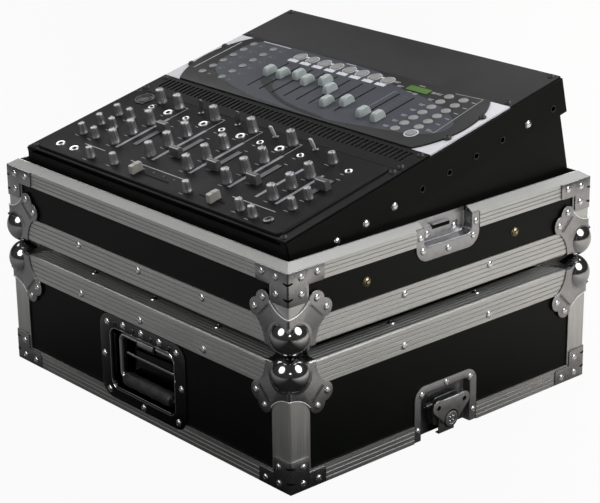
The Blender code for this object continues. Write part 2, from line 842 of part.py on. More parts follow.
def base_tray():
    tray = piece("base_tray", wall_box(LAMINATE, BASE_FLOOR + LAMINATE, TRAY_WALL_TOP), "laminate")
    above = BASE_RIM + BEYOND
    through = -WALL_INSIDE - BEYOND
    cut(tray, wall_box(WALL_INSIDE, TRAY_FLOOR, above), "tray_hollow")
    half = KEEPER_RECESS_HALF + PRESSING + GAP
    low = BASE_RIM - KEEPER_FLOOR_DROP - PRESSING - GAP
    openings = [
        on_face(box((-half, low, through), (half, above, BEYOND)), angle) for angle in (90, 270)
    ]
    level = BASE_RIM - BOLT_DROP
    for place in BOLT_PLACES:
        for angle, sign in ((90, 1), (270, -1)):
            hole = drum(BOLT_RADIUS + GAP, through, BEYOND, (sign * place, level), BOLT_SIDES)
            openings.append(on_face(hole, angle))
    cut(tray, merged(*openings), "tray_openings")


# Ball corners and braces


def signed(outline, x_sign, y_sign):
    return [(x_sign * x, y_sign * y) for x, y in outline]


def petal():
    """One flange of the ball corner, as distances along the two edges from the corner."""
    wrap = FOLD_SKIN - GAP - PRESSING
    side = arc((PETAL_EDGE + PETAL_SIDE_RADIUS, 0), PETAL_SIDE_RADIUS, 180, PETAL_SIDE_END, 3)
    lobe = arc(LOBE_CENTRE, LOBE_RADIUS, LOBE_START, LOBE_END, 4)
    near = [(PETAL_EDGE, wrap)] + side + lobe
    far = [(y, x) for x, y in reversed(near)]
    return [(wrap, PETAL_START), (PETAL_START, wrap)] + near + [(NOTCH, NOTCH)] + far


def ball_corner_mesh():
    """A ball over the corner of three planes, with a riveted flange on each of them."""
    centre = BALL_PROUD - BALL_RADIUS
    ball = bmesh.new()
    bmesh.ops.create_uvsphere(ball, u_segments=12, v_segments=8, radius=BALL_RADIUS)
    ball.transform(Matrix.Translation((centre, centre, centre)))
    corner = piece("ball_corner", ball, "chrome")
    for index, (turn, x_sign, y_sign) in enumerate(CORNER_FACES):
        flange = slab([signed(petal(), x_sign, y_sign)], GAP, GAP + PRESSING)
        join(corner, moved(flange, turn=turn), f"petal_{index}")
    beyond = 2 * (NOTCH + BALL_RADIUS)
    cut(corner, box((-beyond, -beyond, -beyond), (GAP, GAP, GAP)), "case_corner")
    heads = []
    for turn, x_sign, y_sign in CORNER_FACES:
        for place in (BALL_RIVET, BALL_RIVET[::-1]):
            where = (x_sign * place[0], y_sign * place[1])
            head = rivet(place=where, seat=GAP + PRESSING, foot=PRESSING + LAMINATE)
            heads.append(moved(head, turn=turn))
    join(corner, merged(*heads), "corner_rivets")
    return settled(corner)


def brace_mesh():
    """A folded plate round a vertical edge, hanging from z = 0, with its rivets."""
    wrap = FOLD_SKIN - GAP - PRESSING
    outline = [
        (wrap, 0),
        (BRACE_ARM, 0),
        (BRACE_ARM, BRACE_ARM_HEIGHT - BRACE_CUT),
        (BRACE_ARM - BRACE_CUT, BRACE_ARM_HEIGHT),
        (BRACE_LEG, BRACE_ARM_HEIGHT),
        (BRACE_LEG, BRACE_HEIGHT - BRACE_CUT),
        (BRACE_LEG - BRACE_CUT, BRACE_HEIGHT),
        (wrap, BRACE_HEIGHT),
    ]
    first, second = CORNER_FACES[1:]
    plate = slab([signed(outline, first[1], first[2])], GAP, GAP + PRESSING)
    brace = piece("brace", moved(plate, turn=first[0]), "chrome")
    plate = slab([signed(outline, second[1], second[2])], GAP, GAP + PRESSING)
    join(brace, moved(plate, turn=second[0]), "brace_side")
    heads = []
    for turn, x_sign, y_sign in (first, second):
        for x, y in BRACE_RIVETS:
            head = rivet(place=(x_sign * x, y_sign * y), seat=GAP + PRESSING)
            heads.append(moved(head, turn=turn))
    join(brace, merged(*heads), "brace_rivets")
    return settled(brace)


def corner_name(x, y):
    return f"{'front' if y < 0 else 'back'}_{'left' if x < 0 else 'right'}"


def corners():
    ball = ball_corner_mesh()
    brace = brace_mesh()
    for turn in QUARTER_TURNS:
        x, y = corner_place(turn)
        where = corner_name(x, y)
        upright = (0, 0, turn)
        smooth(piece(f"lid_ball_corner_{where}", ball, "chrome", None, (x, y, LID_HEIGHT), upright))
        piece(f"base_brace_{where}", brace, "chrome", None, (x, y, BASE_RIM), upright)
        x, y = corner_place(turn - 90)
        where = corner_name(x, y)
        flipped = (180, 0, turn)
        smooth(piece(f"base_ball_corner_{where}", ball, "chrome", None, (x, y, BASE_FLOOR), flipped))
        piece(f"lid_brace_{where}", brace, "chrome", None, (x, y, FLOOR_CLEARANCE), flipped)


# Pressed dishes and their fittings, drawn (across, up, outward) on a side face


def keeper(name, side):
    """Dish that the claw reaches down into, with a slot and a hook plate in its back wall."""
    top = BASE_RIM + KEEPER_TAB_RISE
    floor = BASE_RIM - KEEPER_FLOOR_DROP
    wall = FLANGE_FRONT - KEEPER_DEPTH
    half = KEEPER_RECESS_HALF
    flange = rounded(
        KEEPER_HALF, BASE_RIM - KEEPER_FLANGE_DROP, top, KEEPER_ROUND, round_top=False
    )
    dish = piece(name, slab([flange], FLANGE_BACK, FLANGE_FRONT), "zinc_steel", side)
    pan = box(
        (-half - PRESSING, floor - PRESSING, wall - PRESSING),
        (half + PRESSING, BASE_RIM + KEEPER_BACK_RISE, FLANGE_BACK + BITE),
    )
    join(dish, pan, f"{name}_pan")
    above = BASE_RIM + KEEPER_BACK_RISE + BEYOND
    cut(dish, box((-half, floor, wall), (half, above, BEYOND)), f"{name}_recess")
    cut(dish, box((-2 * half, top - HAIR, wall), (2 * half, above, BEYOND)), f"{name}_top")
    slot_half = KEEPER_SLOT[0] / 2
    slot_low = BASE_RIM - KEEPER_SLOT_DROP - KEEPER_SLOT[1] / 2
    slot_high = slot_low + KEEPER_SLOT[1]
    slot = box((-slot_half, slot_low, wall - BEYOND), (slot_half, slot_high, wall + HAIR))
    cut(dish, slot, f"{name}_slot")
    hook_half = KEEPER_HOOK[0] / 2
    hook = box(
        (-hook_half, slot_high, wall - BITE), (hook_half, slot_high + PRESSING, wall + KEEPER_HOOK[1])
    )
    join(dish, hook, f"{name}_hook")
    heads = [rivet(place=(x, BASE_RIM + y), seat=FLANGE_FRONT) for x, y in KEEPER_RIVETS]
    heads += [rivet(place=(x, BASE_RIM + y), seat=wall) for x, y in HOOK_RIVETS]
    join(dish, merged(*heads), f"{name}_rivets")


def latch_dish(name, side):
    """Dish in the lid wall, open downwards, with the latch's carrier riveted to its floor."""
    recess_top = DISH_TOP - DISH_FLANGE
    floor = FLANGE_FRONT - DISH_DEPTH
    flange = rounded(DISH_HALF, FLOOR_CLEARANCE, DISH_TOP, DISH_ROUND, round_bottom=False)
    dish = piece(name, slab([flange], FLANGE_BACK, FLANGE_FRONT), "zinc_steel", side)
    pan = rounded(
        DISH_RECESS_HALF + PRESSING,
        FLOOR_CLEARANCE + HAIR,
        recess_top + PRESSING,
        RECESS_ROUND + PRESSING,
        round_bottom=False,
    )
    join(dish, slab([pan], floor - PRESSING, FLANGE_BACK + BITE), f"{name}_pan")
    recess = rounded(DISH_RECESS_HALF, -BEYOND, recess_top, RECESS_ROUND, round_bottom=False)
    cut(dish, slab([recess], floor, BEYOND), f"{name}_recess")
    front = CLAW_PROUD - CLAW_WALL - GAP
    carrier = rounded(CARRIER_HALF, CARRIER_FOOT, CARRIER_TOP, CARRIER_ROUND)
    join(dish, slab([carrier], floor - BITE, front), f"{name}_carrier")
    end = front - SHAFT_DEPTH - GAP
    bore = drum(SHAFT_RADIUS + GAP, end, BEYOND, (0, HUB_HEIGHT), HUB_SIDES)
    cut(dish, bore, f"{name}_bore")
    heads = [rivet(place=place, seat=FLANGE_FRONT) for place in DISH_RIVETS]
    join(dish, merged(*heads), f"{name}_rivets")


def claw(name, side):
    """Plate that the hub's cam drives down, with a lip turned in at its foot."""
    slot_radius = SHAFT_RADIUS + GAP
    high = HUB_HEIGHT + CLAW_TRAVEL
    slot = arc((0, high), slot_radius, 0, 180, 5) + arc((0, HUB_HEIGHT), slot_radius, 180, 360, 5)
    plate = [
        (-CLAW_HALF, FLOOR_CLEARANCE),
        (CLAW_HALF, FLOOR_CLEARANCE),
        (CLAW_HALF, high),
        (slot_radius, high + slot_radius + CLAW_CROWN),
        (-slot_radius, high + slot_radius + CLAW_CROWN),
        (-CLAW_HALF, high),
    ]
    made = piece(name, slab([plate, slot], CLAW_PROUD - CLAW_WALL, CLAW_PROUD), "zinc_steel", side)
    lip = box(
        (-CLAW_HALF + HAIR, FLOOR_CLEARANCE + HAIR, CLAW_PROUD - CLAW_LIP),
        (CLAW_HALF - HAIR, FLOOR_CLEARANCE + CLAW_WALL, CLAW_PROUD - CLAW_WALL / 2),
    )
    join(made, lip, f"{name}_lip")


def hub(name, axle):
    """Round turning piece: a disc outside the claw, and a shaft through it into the carrier."""
    back = CLAW_PROUD + GAP
    end = CLAW_PROUD - CLAW_WALL - GAP - SHAFT_DEPTH
    profile = [
        (SHAFT_RADIUS, end),
        (SHAFT_RADIUS, back),
        (HUB_RADIUS, back),
        (HUB_RADIUS, HUB_PROUD - HUB_CHAMFER),
        (HUB_RADIUS - HUB_CHAMFER, HUB_PROUD),
    ]
    made = piece(name, turned(profile, HUB_SIDES), "zinc_steel", axle)
    smooth(made)


def wing(name, pivot):
    """Two eared leaf that folds flat over the hub, drawn round its pivot."""
    ear_x, ear_y = EAR_CENTRE[0], EAR_CENTRE[1] - HUB_HEIGHT
    foot = WING_FOOT - HUB_HEIGHT
    notch = HUB_RADIUS + GAP
    right = [(notch, foot), (WING_FOOT_HALF - WING_FOOT_TAPER, foot), (WING_FOOT_HALF, 0)]
    right += arc((ear_x, ear_y), EAR_RADIUS, -40, 105, 6)
    right.append((WING_SADDLE_HALF, WING_SADDLE - HUB_HEIGHT))
    left = [(-x, y) for x, y in reversed(right)]
    saddle = arc((0, 0), notch, 180, 0, 8)
    holes = [arc((sign * ear_x, ear_y), EAR_HOLE, 0, 324, 9) for sign in (-1, 1)]
    half = WING_WALL / 2
    piece(name, slab([right + left + saddle, *holes], -half, half), "zinc_steel", pivot)


def latches():
    for hand, sign, angle in (("right", 1, 90), ("left", -1, 270)):
        side = guide(f"{hand}_side", (sign * CASE_WIDTH / 2, 0, 0), (90, 0, angle))
        keeper(f"keeper_dish_{hand}", side)
        latch_dish(f"latch_dish_{hand}", side)
        claw(f"latch_claw_{hand}", side)
        axle = guide(f"{hand}_hub_axle", (0, HUB_HEIGHT, 0), parent=side)
        hub(f"latch_hub_{hand}", axle)
        pivot = guide(f"{hand}_wing_pivot", (0, 0, WING_FRONT - WING_WALL / 2), parent=axle)
        wing(f"latch_wing_{hand}", pivot)


def handle():
    """Dish in the front wall, and a sprung bail with a rubber grip that swings out of it."""
    front = guide("front_side", (0, -CASE_DEPTH / 2, 0), (90, 0, 0))
    low, high = HANDLE_RECESS
    floor = FLANGE_FRONT - HANDLE_DEPTH
    flange = rounded(HANDLE_HALF, HANDLE_BOTTOM, HANDLE_TOP, HANDLE_ROUND, HANDLE_STEPS)
    dish = piece("handle_dish", slab([flange], FLANGE_BACK, FLANGE_FRONT), "black_chrome", front)
    pan = rounded(
        HANDLE_RECESS_HALF + PRESSING, low - PRESSING, high + PRESSING, RECESS_ROUND + PRESSING
    )
    join(dish, slab([pan], floor - PRESSING, FLANGE_BACK + BITE), "handle_pan")
    recess = rounded(HANDLE_RECESS_HALF, low, high, RECESS_ROUND)
    cut(dish, slab([recess], floor, BEYOND), "handle_recess")
    bar = FLANGE_FRONT - BAIL_DEPTH
    knuckle = drum(BRACKET_ROUND, -BRACKET_HALF, BRACKET_HALF)
    knuckle = moved(knuckle, (0, BAIL_PIVOT_HEIGHT, bar), (0, 90, 0))
    join(dish, knuckle, "handle_knuckle")
    strap = box(
        (HAIR - BRACKET_HALF, BAIL_PIVOT_HEIGHT, bar - BAIL_RADIUS),
        (BRACKET_HALF - HAIR, high + BITE, bar + BAIL_RADIUS),
    )
    join(dish, strap, "handle_strap")
    bore = drum(BAIL_RADIUS + GAP, -BRACKET_HALF - BEYOND, BRACKET_HALF + BEYOND)
    cut(dish, moved(bore, (0, BAIL_PIVOT_HEIGHT, bar), (0, 90, 0)), "handle_bore")
    rivets = [(x, HANDLE_TOP - drop) for x, drop in HANDLE_UPPER_RIVETS]
    rivets += [(x, HANDLE_BOTTOM + rise) for x, rise in HANDLE_LOWER_RIVETS]
    heads = [rivet(place=place, seat=FLANGE_FRONT) for place in rivets]
    join(dish, merged(*heads), "handle_rivets")

    pivot = guide("handle_pivot", (0, BAIL_PIVOT_HEIGHT, bar), parent=front)
    drop = BAIL_PIVOT_HEIGHT - BAIL_LOW_HEIGHT
    curve = bpy.data.curves.new("handle_bail", "CURVE")
    curve.dimensions = "3D"
    curve.bevel_depth = BAIL_RADIUS
    curve.bevel_resolution = 2
    spline = curve.splines.new("POLY")
    path = rounded(BAIL_HALF, -drop, 0, BAIL_ROUND)
    spline.points.add(len(path) - 1)
    for corner, (x, y) in zip(spline.points, path):
        corner.co = (x, y, 0, 1)
    spline.use_cyclic_u = True
    bail = bpy.data.objects.new("handle_bail", curve)
    bail.parent = pivot
    curve.materials.append(material("chrome"))
    PARTS.objects.link(bail)

    bore_radius = BAIL_RADIUS + GAP
    half = GRIP_LENGTH / 2
    profile = [
        (bore_radius, -half),
        (GRIP_RADIUS - GRIP_CHAMFER, -half),
        (GRIP_RADIUS, GRIP_CHAMFER - half),
        (GRIP_RADIUS, half - GRIP_CHAMFER),
        (GRIP_RADIUS - GRIP_CHAMFER, half),
        (bore_radius, half),
    ]
    grip = moved(turned(profile, GRIP_SIDES, closed=True), (0, -drop, 0), (0, 90, 0))
    smooth(piece("handle_grip", grip, "rubber", pivot))


# Rack housing and rails


def on_slope(down, depth):
    """World (y, z) of a point some way down the panel slope and some way behind it."""
    y = RACK_TOP[0] - down * math.cos(RACK_TURN) + depth * math.sin(RACK_TURN)
    z = RACK_TOP[1] - down * math.sin(RACK_TURN) - depth * math.cos(RACK_TURN)
    return y, z


def rack_housing():
    """Plywood cheeks under the rails, tied across the front and low at the back, and bolted in."""
    foot = TRAY_FLOOR + GAP
    front = on_slope(RACK_LENGTH, BOARD_TOP)
    back = on_slope(BOARD_BACK, BOARD_TOP)
    run = (HOUSING_BACK - back[0]) / math.sin(RACK_TURN)
    knee = on_slope(BOARD_BACK, BOARD_TOP + run)
    cheek = [front, (front[0], foot), (HOUSING_BACK, foot), knee, back]
    turn = (90, 0, 90)
    housing = piece(
        "rack_housing", moved(slab([cheek], BOARD_INNER, BOARD_OUTER), turn=turn), "black_plywood"
    )
    join(housing, moved(slab([cheek], -BOARD_OUTER, -BOARD_INNER), turn=turn), "left_cheek")
    reach = BOARD_INNER + BITE
    face = front[0] + BITE
    low = foot + CROSS_BOARD_RISE
    across = box((-reach, face, low), (reach, face + BOARD, front[1] - CROSS_BOARD_DROP))
    join(housing, across, "front_board")
    rear = HOUSING_BACK - BITE
    across = box((-reach, rear - BOARD, low), (reach, rear, foot + BACK_RAIL_HEIGHT))
    join(housing, across, "back_board")
    level = BASE_RIM - BOLT_DROP
    inner_face = WALL_INSIDE + GAP
    cheek_depth = CASE_WIDTH / 2 - BOARD_OUTER
    bolts = []
    for angle, sign in ((90, 1), (270, -1)):
        for place in BOLT_PLACES:
            profile = [
                (SPACER_RADIUS, -cheek_depth - BITE),
                (SPACER_RADIUS, -inner_face),
                (BOLT_RADIUS, -inner_face),
                (BOLT_RADIUS, FLANGE_BACK),
                (BOLT_HEAD[0], FLANGE_BACK),
                (BOLT_HEAD[0], FLANGE_BACK + BOLT_CROWN[1] * BOLT_HEAD[1]),
                (BOLT_CROWN[0] * BOLT_HEAD[0], FLANGE_BACK + BOLT_HEAD[1]),
            ]
            bolt = moved(turned(profile, BOLT_SIDES), (sign * place, level, 0))
            bolts.append(on_face(bolt, angle))
    join(housing, merged(*bolts), "housing_bolts")


def rack_rail(name, sign, rack):
    """L section rail down the slope: its flange takes the panels, its web is screwed to a cheek."""
    top = -PANEL_WALL - GAP
    outline = [
        (sign * RAIL_OUTER, top),
        (sign * RAIL_OUTER, top - RAIL_DEPTH),
        (sign * (RAIL_OUTER - RAIL_WALL), top - RAIL_DEPTH),
        (sign * (RAIL_OUTER - RAIL_WALL), top - RAIL_WALL),
        (sign * (RAIL_OUTER - RAIL_FLANGE), top - RAIL_WALL),
        (sign * (RAIL_OUTER - RAIL_FLANGE), top),
    ]
    rail = piece(name, moved(slab([outline], 0, RACK_LENGTH), turn=(90, 0, 0)), "black_steel", rack)
    holes = []
    heads = []
    for index in range(RACK_UNITS):
        down = RACK_UNIT * (index + 0.5)
        where = (sign * RAIL_OUTER, -down, -RAIL_HOLE_DEPTH)
        if index in RAIL_SCREWS:
            heads.append(moved(rivet(), where, (0, sign * 90, 0)))
        else:
            hole = drum(RAIL_HOLE_RADIUS, -2 * RAIL_WALL, 2 * RAIL_WALL, sides=6)
            holes.append(moved(hole, where, (0, 90, 0)))
    cut(rail, merged(*holes), f"{name}_holes")
    join(rail, merged(*heads), f"{name}_screws")


# Rack units, drawn with x across, y up the slope and z out of the panel


def plate(start, end):
    return box(
        (-PANEL_HALF, PANEL_SPLIT - end, -PANEL_WALL), (PANEL_HALF, -start - PANEL_SPLIT, 0)
    )


def screw_heads(start, end):
    heads = []
    for down in (start + SCREW_INSET, end - SCREW_INSET):
        for side in (-1, 1):
            heads.append(rivet(*SCREW_HEAD, place=(side * SCREW_HALF, -down)))
    return heads


def chassis(target, start, end, depth):
    """Sheet metal box behind a panel, hollow."""
    margin = CHASSIS_MARGIN
    half = CHASSIS_HALF
    wall = CHASSIS_WALL
    outer = box((-half, margin - end, -depth), (half, -start - margin, BITE - PANEL_WALL))
    join(target, outer, f"{target.name}_chassis")
    half -= wall
    margin += wall
    inner = box((-half, margin - end, wall - depth), (half, -start - margin, -PANEL_WALL))
    cut(target, inner, f"{target.name}_inside")


def blank_panel(rack):
    """Bare two unit plate with its long edges folded back."""
    end = 2 * RACK_UNIT
    blank = piece("blank_panel", plate(0, end), "panel_black", rack)
    half = CHASSIS_HALF
    edge = PANEL_SPLIT + BLANK_LIP_INSET
    lips = [
        box((-half, low, -BLANK_LIP), (half, low + PANEL_WALL, BITE - PANEL_WALL))
        for low in (edge - end, -edge - PANEL_WALL)
    ]
    join(blank, merged(*lips), "blank_lips")
    join(blank, merged(*screw_heads(0, end)), "blank_screws")


def vent_panel(rack):
    """One unit plate cut with a row of slots."""
    start = 5 * RACK_UNIT
    vent = piece("vent_panel", plate(start, start + RACK_UNIT), "panel_black", rack)
    middle = -start - VENT_SLOT_MIDDLE
    half_w, half_l = VENT_SLOT[0] / 2, VENT_SLOT[1] / 2
    slots = []
    for index in range(VENT_SLOTS):
        x = VENT_PITCH * (index - (VENT_SLOTS - 1) / 2)
        low = (x - half_w, middle - half_l, -BEYOND)
        slots.append(box(low, (x + half_w, middle + half_l, BEYOND)))
    cut(vent, merged(*slots), "vent_slots")
    join(vent, merged(*screw_heads(start, start + RACK_UNIT)), "vent_screws")


def controller_outline(start, end):
    """Face with bulged ends, as (x, y) points."""
    narrow, wide = [PANEL_HALF - margin for margin in CONTROLLER_END_MARGINS]
    half = (end - start) / 2 - CONTROLLER_SIDE_MARGIN
    bulge = wide - narrow
    radius = (half * half + bulge * bulge) / (2 * bulge)
    angle = math.degrees(math.asin(half / radius))
    middle = -(start + end) / 2
    right = arc((wide - radius, middle), radius, -angle, angle, 8)
    left = arc((radius - wide, middle), radius, 180 - angle, 180 + angle, 8)
    return right + left


def spread(across, down):
    """A place read on the panels, moved with their width and their unit: (x, y) on the slope."""
    return across * PANEL_HALF / LAYOUT_HALF, -down * RACK_UNIT / LAYOUT_UNIT


def across_box(left, right, start, end, low, high):
    """A block whose corners are places read on the panels."""
    x_low, y_high = spread(left, start)
    x_high, y_low = spread(right, end)
    return box((x_low, y_low, low), (x_high, y_high, high))


def column(across, first, pitch, rows):
    return [spread(across, first + pitch * row) for row in range(rows)]


def key(place, size):
    half_w, half_l = size[0] / 2, size[1] / 2
    low, high = CONTROLLER_RAISE - BITE, CONTROLLER_RAISE + BUTTON_RISE
    return box((place[0] - half_w, place[1] - half_l, low), (place[0] + half_w, place[1] + half_l, high))


def round_key(place, radius):
    low, high = CONTROLLER_RAISE - BITE, CONTROLLER_RAISE + BUTTON_RISE
    return drum(radius, low, high, place, ROUND_KEY_SIDES)


def finger_lines():
    """Places across of the ten slots: eight scenes and two speeds."""
    scenes = [SCENE_FIRST + SCENE_PITCH * index for index in range(SCENE_SLIDERS)]
    return scenes + list(SPEED_SLIDERS)


def slot_down(across, start, end, width):
    """Cutter for a slot that runs down the slope."""
    x, top = spread(across, start)
    low = spread(across, end)[1]
    return box((x - width / 2, low, -BEYOND), (x + width / 2, top, BEYOND))


def lighting_controller(rack):
    """Three unit panel with keys, a screen window and ten slots over a sheet metal box."""
    start, end = 2 * RACK_UNIT, 5 * RACK_UNIT
    desk = piece("lighting_controller", plate(start, end), "panel_grey", rack)
    chassis(desk, start, end, CONTROLLER_DEPTH)
    face = slab([controller_outline(start, end)], -BITE, CONTROLLER_RAISE)
    join(desk, face, "controller_face")
    slots = [
        slot_down(across, FINGER_SLOT_START, FINGER_SLOT_END, FINGER_SLOT_WIDTH)
        for across in finger_lines()
    ]
    slots.append(across_box(*SCREEN, CONTROLLER_RAISE - SCREEN_SINK, BEYOND))
    cut(desk, merged(*slots), "controller_slots")
    keys = []
    for across in LEFT_KEY_COLUMNS:
        for place in column(across, LEFT_KEY_FIRST, LEFT_KEY_PITCH, LEFT_KEY_ROWS):
            keys.append(key(place, BUTTON_SIZE))
    right = column(RIGHT_KEY_COLUMN, RIGHT_KEY_FIRST, RIGHT_KEY_PITCH, RIGHT_KEY_ROWS)
    right += column(LAST_KEY_COLUMN, LAST_KEY_FIRST, LAST_KEY_PITCH, LAST_KEY_ROWS)
    keys += [key(place, RIGHT_KEY_SIZE) for place in right]
    for across in finger_lines()[:SCENE_SLIDERS]:
        keys.append(round_key(spread(across, SCENE_KEY_LINE), SCENE_KEY_RADIUS))
    keys.append(round_key(spread(*ROUND_KEY), ROUND_KEY_RADIUS))
    join(desk, merged(*keys), "controller_keys")
    join(desk, merged(*screw_heads(start, end)), "controller_screws")


def sliding_cap(profile, half_width, stem_half, stem_depth, seat):
    """A cap with this side profile, and the stem that runs in its slot."""
    cap = moved(slab([profile], -half_width, half_width), turn=(90, 0, 90))
    made = piece("cap", cap, "slider_grey")
    foot = -stem_depth - seat - PANEL_WALL
    stem = box((-stem_half, -STEM_HALF_LENGTH, foot), (stem_half, STEM_HALF_LENGTH, BITE))
    join(made, stem, "cap_stem")
    return settled(made)


def controller_sliders(rack):
    width, length, height = FINGER_CAP
    turns = [math.pi * step / FINGER_STEPS for step in range(FINGER_STEPS + 1)]
    profile = [(-length / 2 * math.cos(turn), height * math.sin(turn)) for turn in turns]
    seat = CONTROLLER_RAISE + GAP
    stem_half = FINGER_SLOT_WIDTH / 2 - GAP
    mesh = sliding_cap(profile, width / 2, stem_half, FINGER_STEM_DEPTH, seat)
    for index, (across, down) in enumerate(zip(finger_lines(), FINGER_CENTRES)):
        place = (*spread(across, down), seat)
        piece(f"controller_slider_{index + 1}", mesh, "slider_grey", rack, place)


def seen_at(place):
    """A place read on the panel plane, moved to where it lies on the raised face."""
    return spread(place[0] + MIXER_SHIFT[0], place[1] + MIXER_SHIFT[1])


def knob(spot, radii, rise):
    return drum(radii[0], MIXER_RAISE - BITE, MIXER_RAISE + rise, seen_at(spot), KNOB_SIDES, radii[1])


def mixer(rack):
    """Four unit panel with a raised face, its knobs, switches and sockets, and fader slots."""
    start, end = 6 * RACK_UNIT, RACK_LENGTH
    desk = piece("mixer", plate(start, end), "panel_black", rack)
    chassis(desk, start, end - MIXER_FRONT_ROOM, MIXER_DEPTH)
    low, high = MIXER_FACE_MARGIN - end, -start - MIXER_FACE_MARGIN
    wide = slab([rounded(MIXER_FACE_HALF, low, high, MIXER_FACE_ROUND)], -BITE, MIXER_RAISE)
    top = [edge for edge in wide.edges if min(v.co.z for v in edge.verts) > MIXER_RAISE - HAIR]
    rim = [edge for edge in top if edge.calc_face_angle(0) > 1]
    bmesh.ops.bevel(
        wide, geom=rim, offset=MIXER_BEVEL, segments=1, affect="EDGES", clamp_overlap=True
    )
    join(desk, wide, "mixer_face")
    slots = [slot_down(across, *FADER_SLOT, FADER_SLOT_WIDTH) for across in FADER_PLACES]
    slots.append(slot_down(MASTER_PLACE[0], *MASTER_SLOT, FADER_SLOT_WIDTH))
    left, line = spread(CROSS_SLOT[0], CROSS_LINE)
    right = spread(CROSS_SLOT[1], CROSS_LINE)[0]
    half = FADER_SLOT_WIDTH / 2
    slots.append(box((left, line - half, -BEYOND), (right, line + half, BEYOND)))
    sunk = MIXER_RAISE - SOCKET_DEPTH
    slots.append(drum(MICROPHONE_RADIUS, sunk, BEYOND, seen_at(MICROPHONE_SOCKET), 14))
    slots.append(drum(JACK_RADIUS, sunk, BEYOND, seen_at(JACK), 8))
    cut(desk, merged(*slots), "mixer_slots")
    controls = []
    for across in KNOB_COLUMNS:
        for row in KNOB_ROWS:
            controls.append(knob((across, row), KNOB_RADIUS, KNOB_RISE))
    for across in GAIN_COLUMNS:
        controls.append(knob((across, GAIN_ROW), KNOB_RADIUS, KNOB_RISE))
    small = [(across, row) for across in SMALL_KNOB_COLUMNS for row in SMALL_KNOB_ROWS]
    for spot in [*small, *EXTRA_KNOBS, *FRONT_KNOBS]:
        controls.append(knob(spot, SMALL_KNOB_RADIUS, SMALL_KNOB_RISE))
    for spot in TOGGLES:
        controls.append(knob(spot, TOGGLE_RADIUS, TOGGLE_RISE))
    for spot in [*CUE_BUTTONS, *TALK_BUTTONS]:
        controls.append(knob(spot, CUE_RADIUS, CUE_RISE))
    for across in SMALL_BUTTON_COLUMNS:
        spot = (across, SMALL_BUTTON_ROW)
        controls.append(knob(spot, SMALL_BUTTON_RADIUS, SMALL_BUTTON_RISE))
    cap = profile_block(CROSS_CAP[1], CROSS_CAP[2])
    fixed = moved(slab([cap], -CROSS_CAP[0] / 2, CROSS_CAP[0] / 2), turn=(90, 0, 90))
    controls.append(moved(fixed, (*spread(*CURVE_CAP), MIXER_RAISE - BITE)))
    join(desk, merged(*controls), "mixer_controls")
    join(desk, merged(*screw_heads(start, end)), "mixer_screws")


def profile_block(length, height):
    """Side profile of a fader cap, a little narrower at its top."""
    half = length / 2
    top = half * (1 - CAP_TAPER)
    return [(-half, 0), (half, 0), (top, height), (-top, height)]


def mixer_faders(rack):
    seat = MIXER_RAISE + GAP
    stem_half = FADER_SLOT_WIDTH / 2 - GAP
    cap = profile_block(FADER_CAP[1], FADER_CAP[2])
    mesh = sliding_cap(cap, FADER_CAP[0] / 2, stem_half, FADER_STEM_DEPTH, seat)
    for index, (across, down) in enumerate(zip(FADER_PLACES, FADER_CENTRES)):
        place = (*spread(across, down), seat)
        piece(f"channel_fader_{index + 1}", mesh, "fader_grey", rack, place)
    piece("master_fader", mesh, "fader_grey", rack, (*spread(*MASTER_PLACE), seat))
    cap = profile_block(CROSS_CAP[0], CROSS_CAP[2])
    mesh = sliding_cap(cap, CROSS_CAP[1] / 2, stem_half, FADER_STEM_DEPTH, seat)
    place = (*spread(CROSS_CENTRE, CROSS_LINE), seat)
    piece("crossfader", mesh, "fader_grey", rack, place, (0, 0, 90))


def build():
    lid_shell()
    edging_frame("lid_edging", LID_HEIGHT, -1, RIM_LEG_LID + GAP)
    base_tray()
    edging_frame("base_edging", BASE_FLOOR, 1, BASE_RIM - RIM_LEG_BASE - GAP)
    rims()
    corners()
    latches()
    handle()
    rack_housing()
    rack = guide("rack_slope", (0, *RACK_TOP), (RACK_SLOPE, 0, 0))
    rack_rail("rack_rail_right", 1, rack)
    rack_rail("rack_rail_left", -1, rack)
    blank_panel(rack)
    lighting_controller(rack)
    controller_sliders(rack)
    vent_panel(rack)
    mixer(rack)
    mixer_faders(rack)


build()
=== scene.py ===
"""Looks for the mixer flight case: the pressed metal, the controls, the print and the studio."""

import math

import bmesh
import bpy
import numpy as np
from mathutils import Matrix, Vector


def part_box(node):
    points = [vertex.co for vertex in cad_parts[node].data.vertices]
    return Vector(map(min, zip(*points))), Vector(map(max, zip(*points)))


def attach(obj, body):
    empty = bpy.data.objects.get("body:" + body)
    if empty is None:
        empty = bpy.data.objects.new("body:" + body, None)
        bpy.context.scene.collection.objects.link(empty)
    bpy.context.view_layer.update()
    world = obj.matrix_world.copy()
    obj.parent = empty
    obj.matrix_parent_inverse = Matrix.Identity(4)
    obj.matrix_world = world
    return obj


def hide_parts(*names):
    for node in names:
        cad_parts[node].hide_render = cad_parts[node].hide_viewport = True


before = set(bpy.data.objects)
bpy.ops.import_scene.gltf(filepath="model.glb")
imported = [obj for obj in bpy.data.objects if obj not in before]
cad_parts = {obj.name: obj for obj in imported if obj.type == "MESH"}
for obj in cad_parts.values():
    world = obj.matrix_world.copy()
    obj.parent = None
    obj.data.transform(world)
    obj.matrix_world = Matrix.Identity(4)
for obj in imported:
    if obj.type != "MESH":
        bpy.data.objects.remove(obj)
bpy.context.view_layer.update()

bl_info = {
    "name": "Mixer flight case looks",
    "version": (1, 0, 0),
    "blender": (4, 5, 0),
    "location": "3D View > Sidebar > Flight case",
    "description": "Dresses the flight case's solids and sets up its studio",
    "category": "Object",
}


def ends(node, axis):
    """Where a solid starts and ends along an axis, to a hundredth of a millimetre."""
    return [round(corner[axis], 5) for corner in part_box(node)]


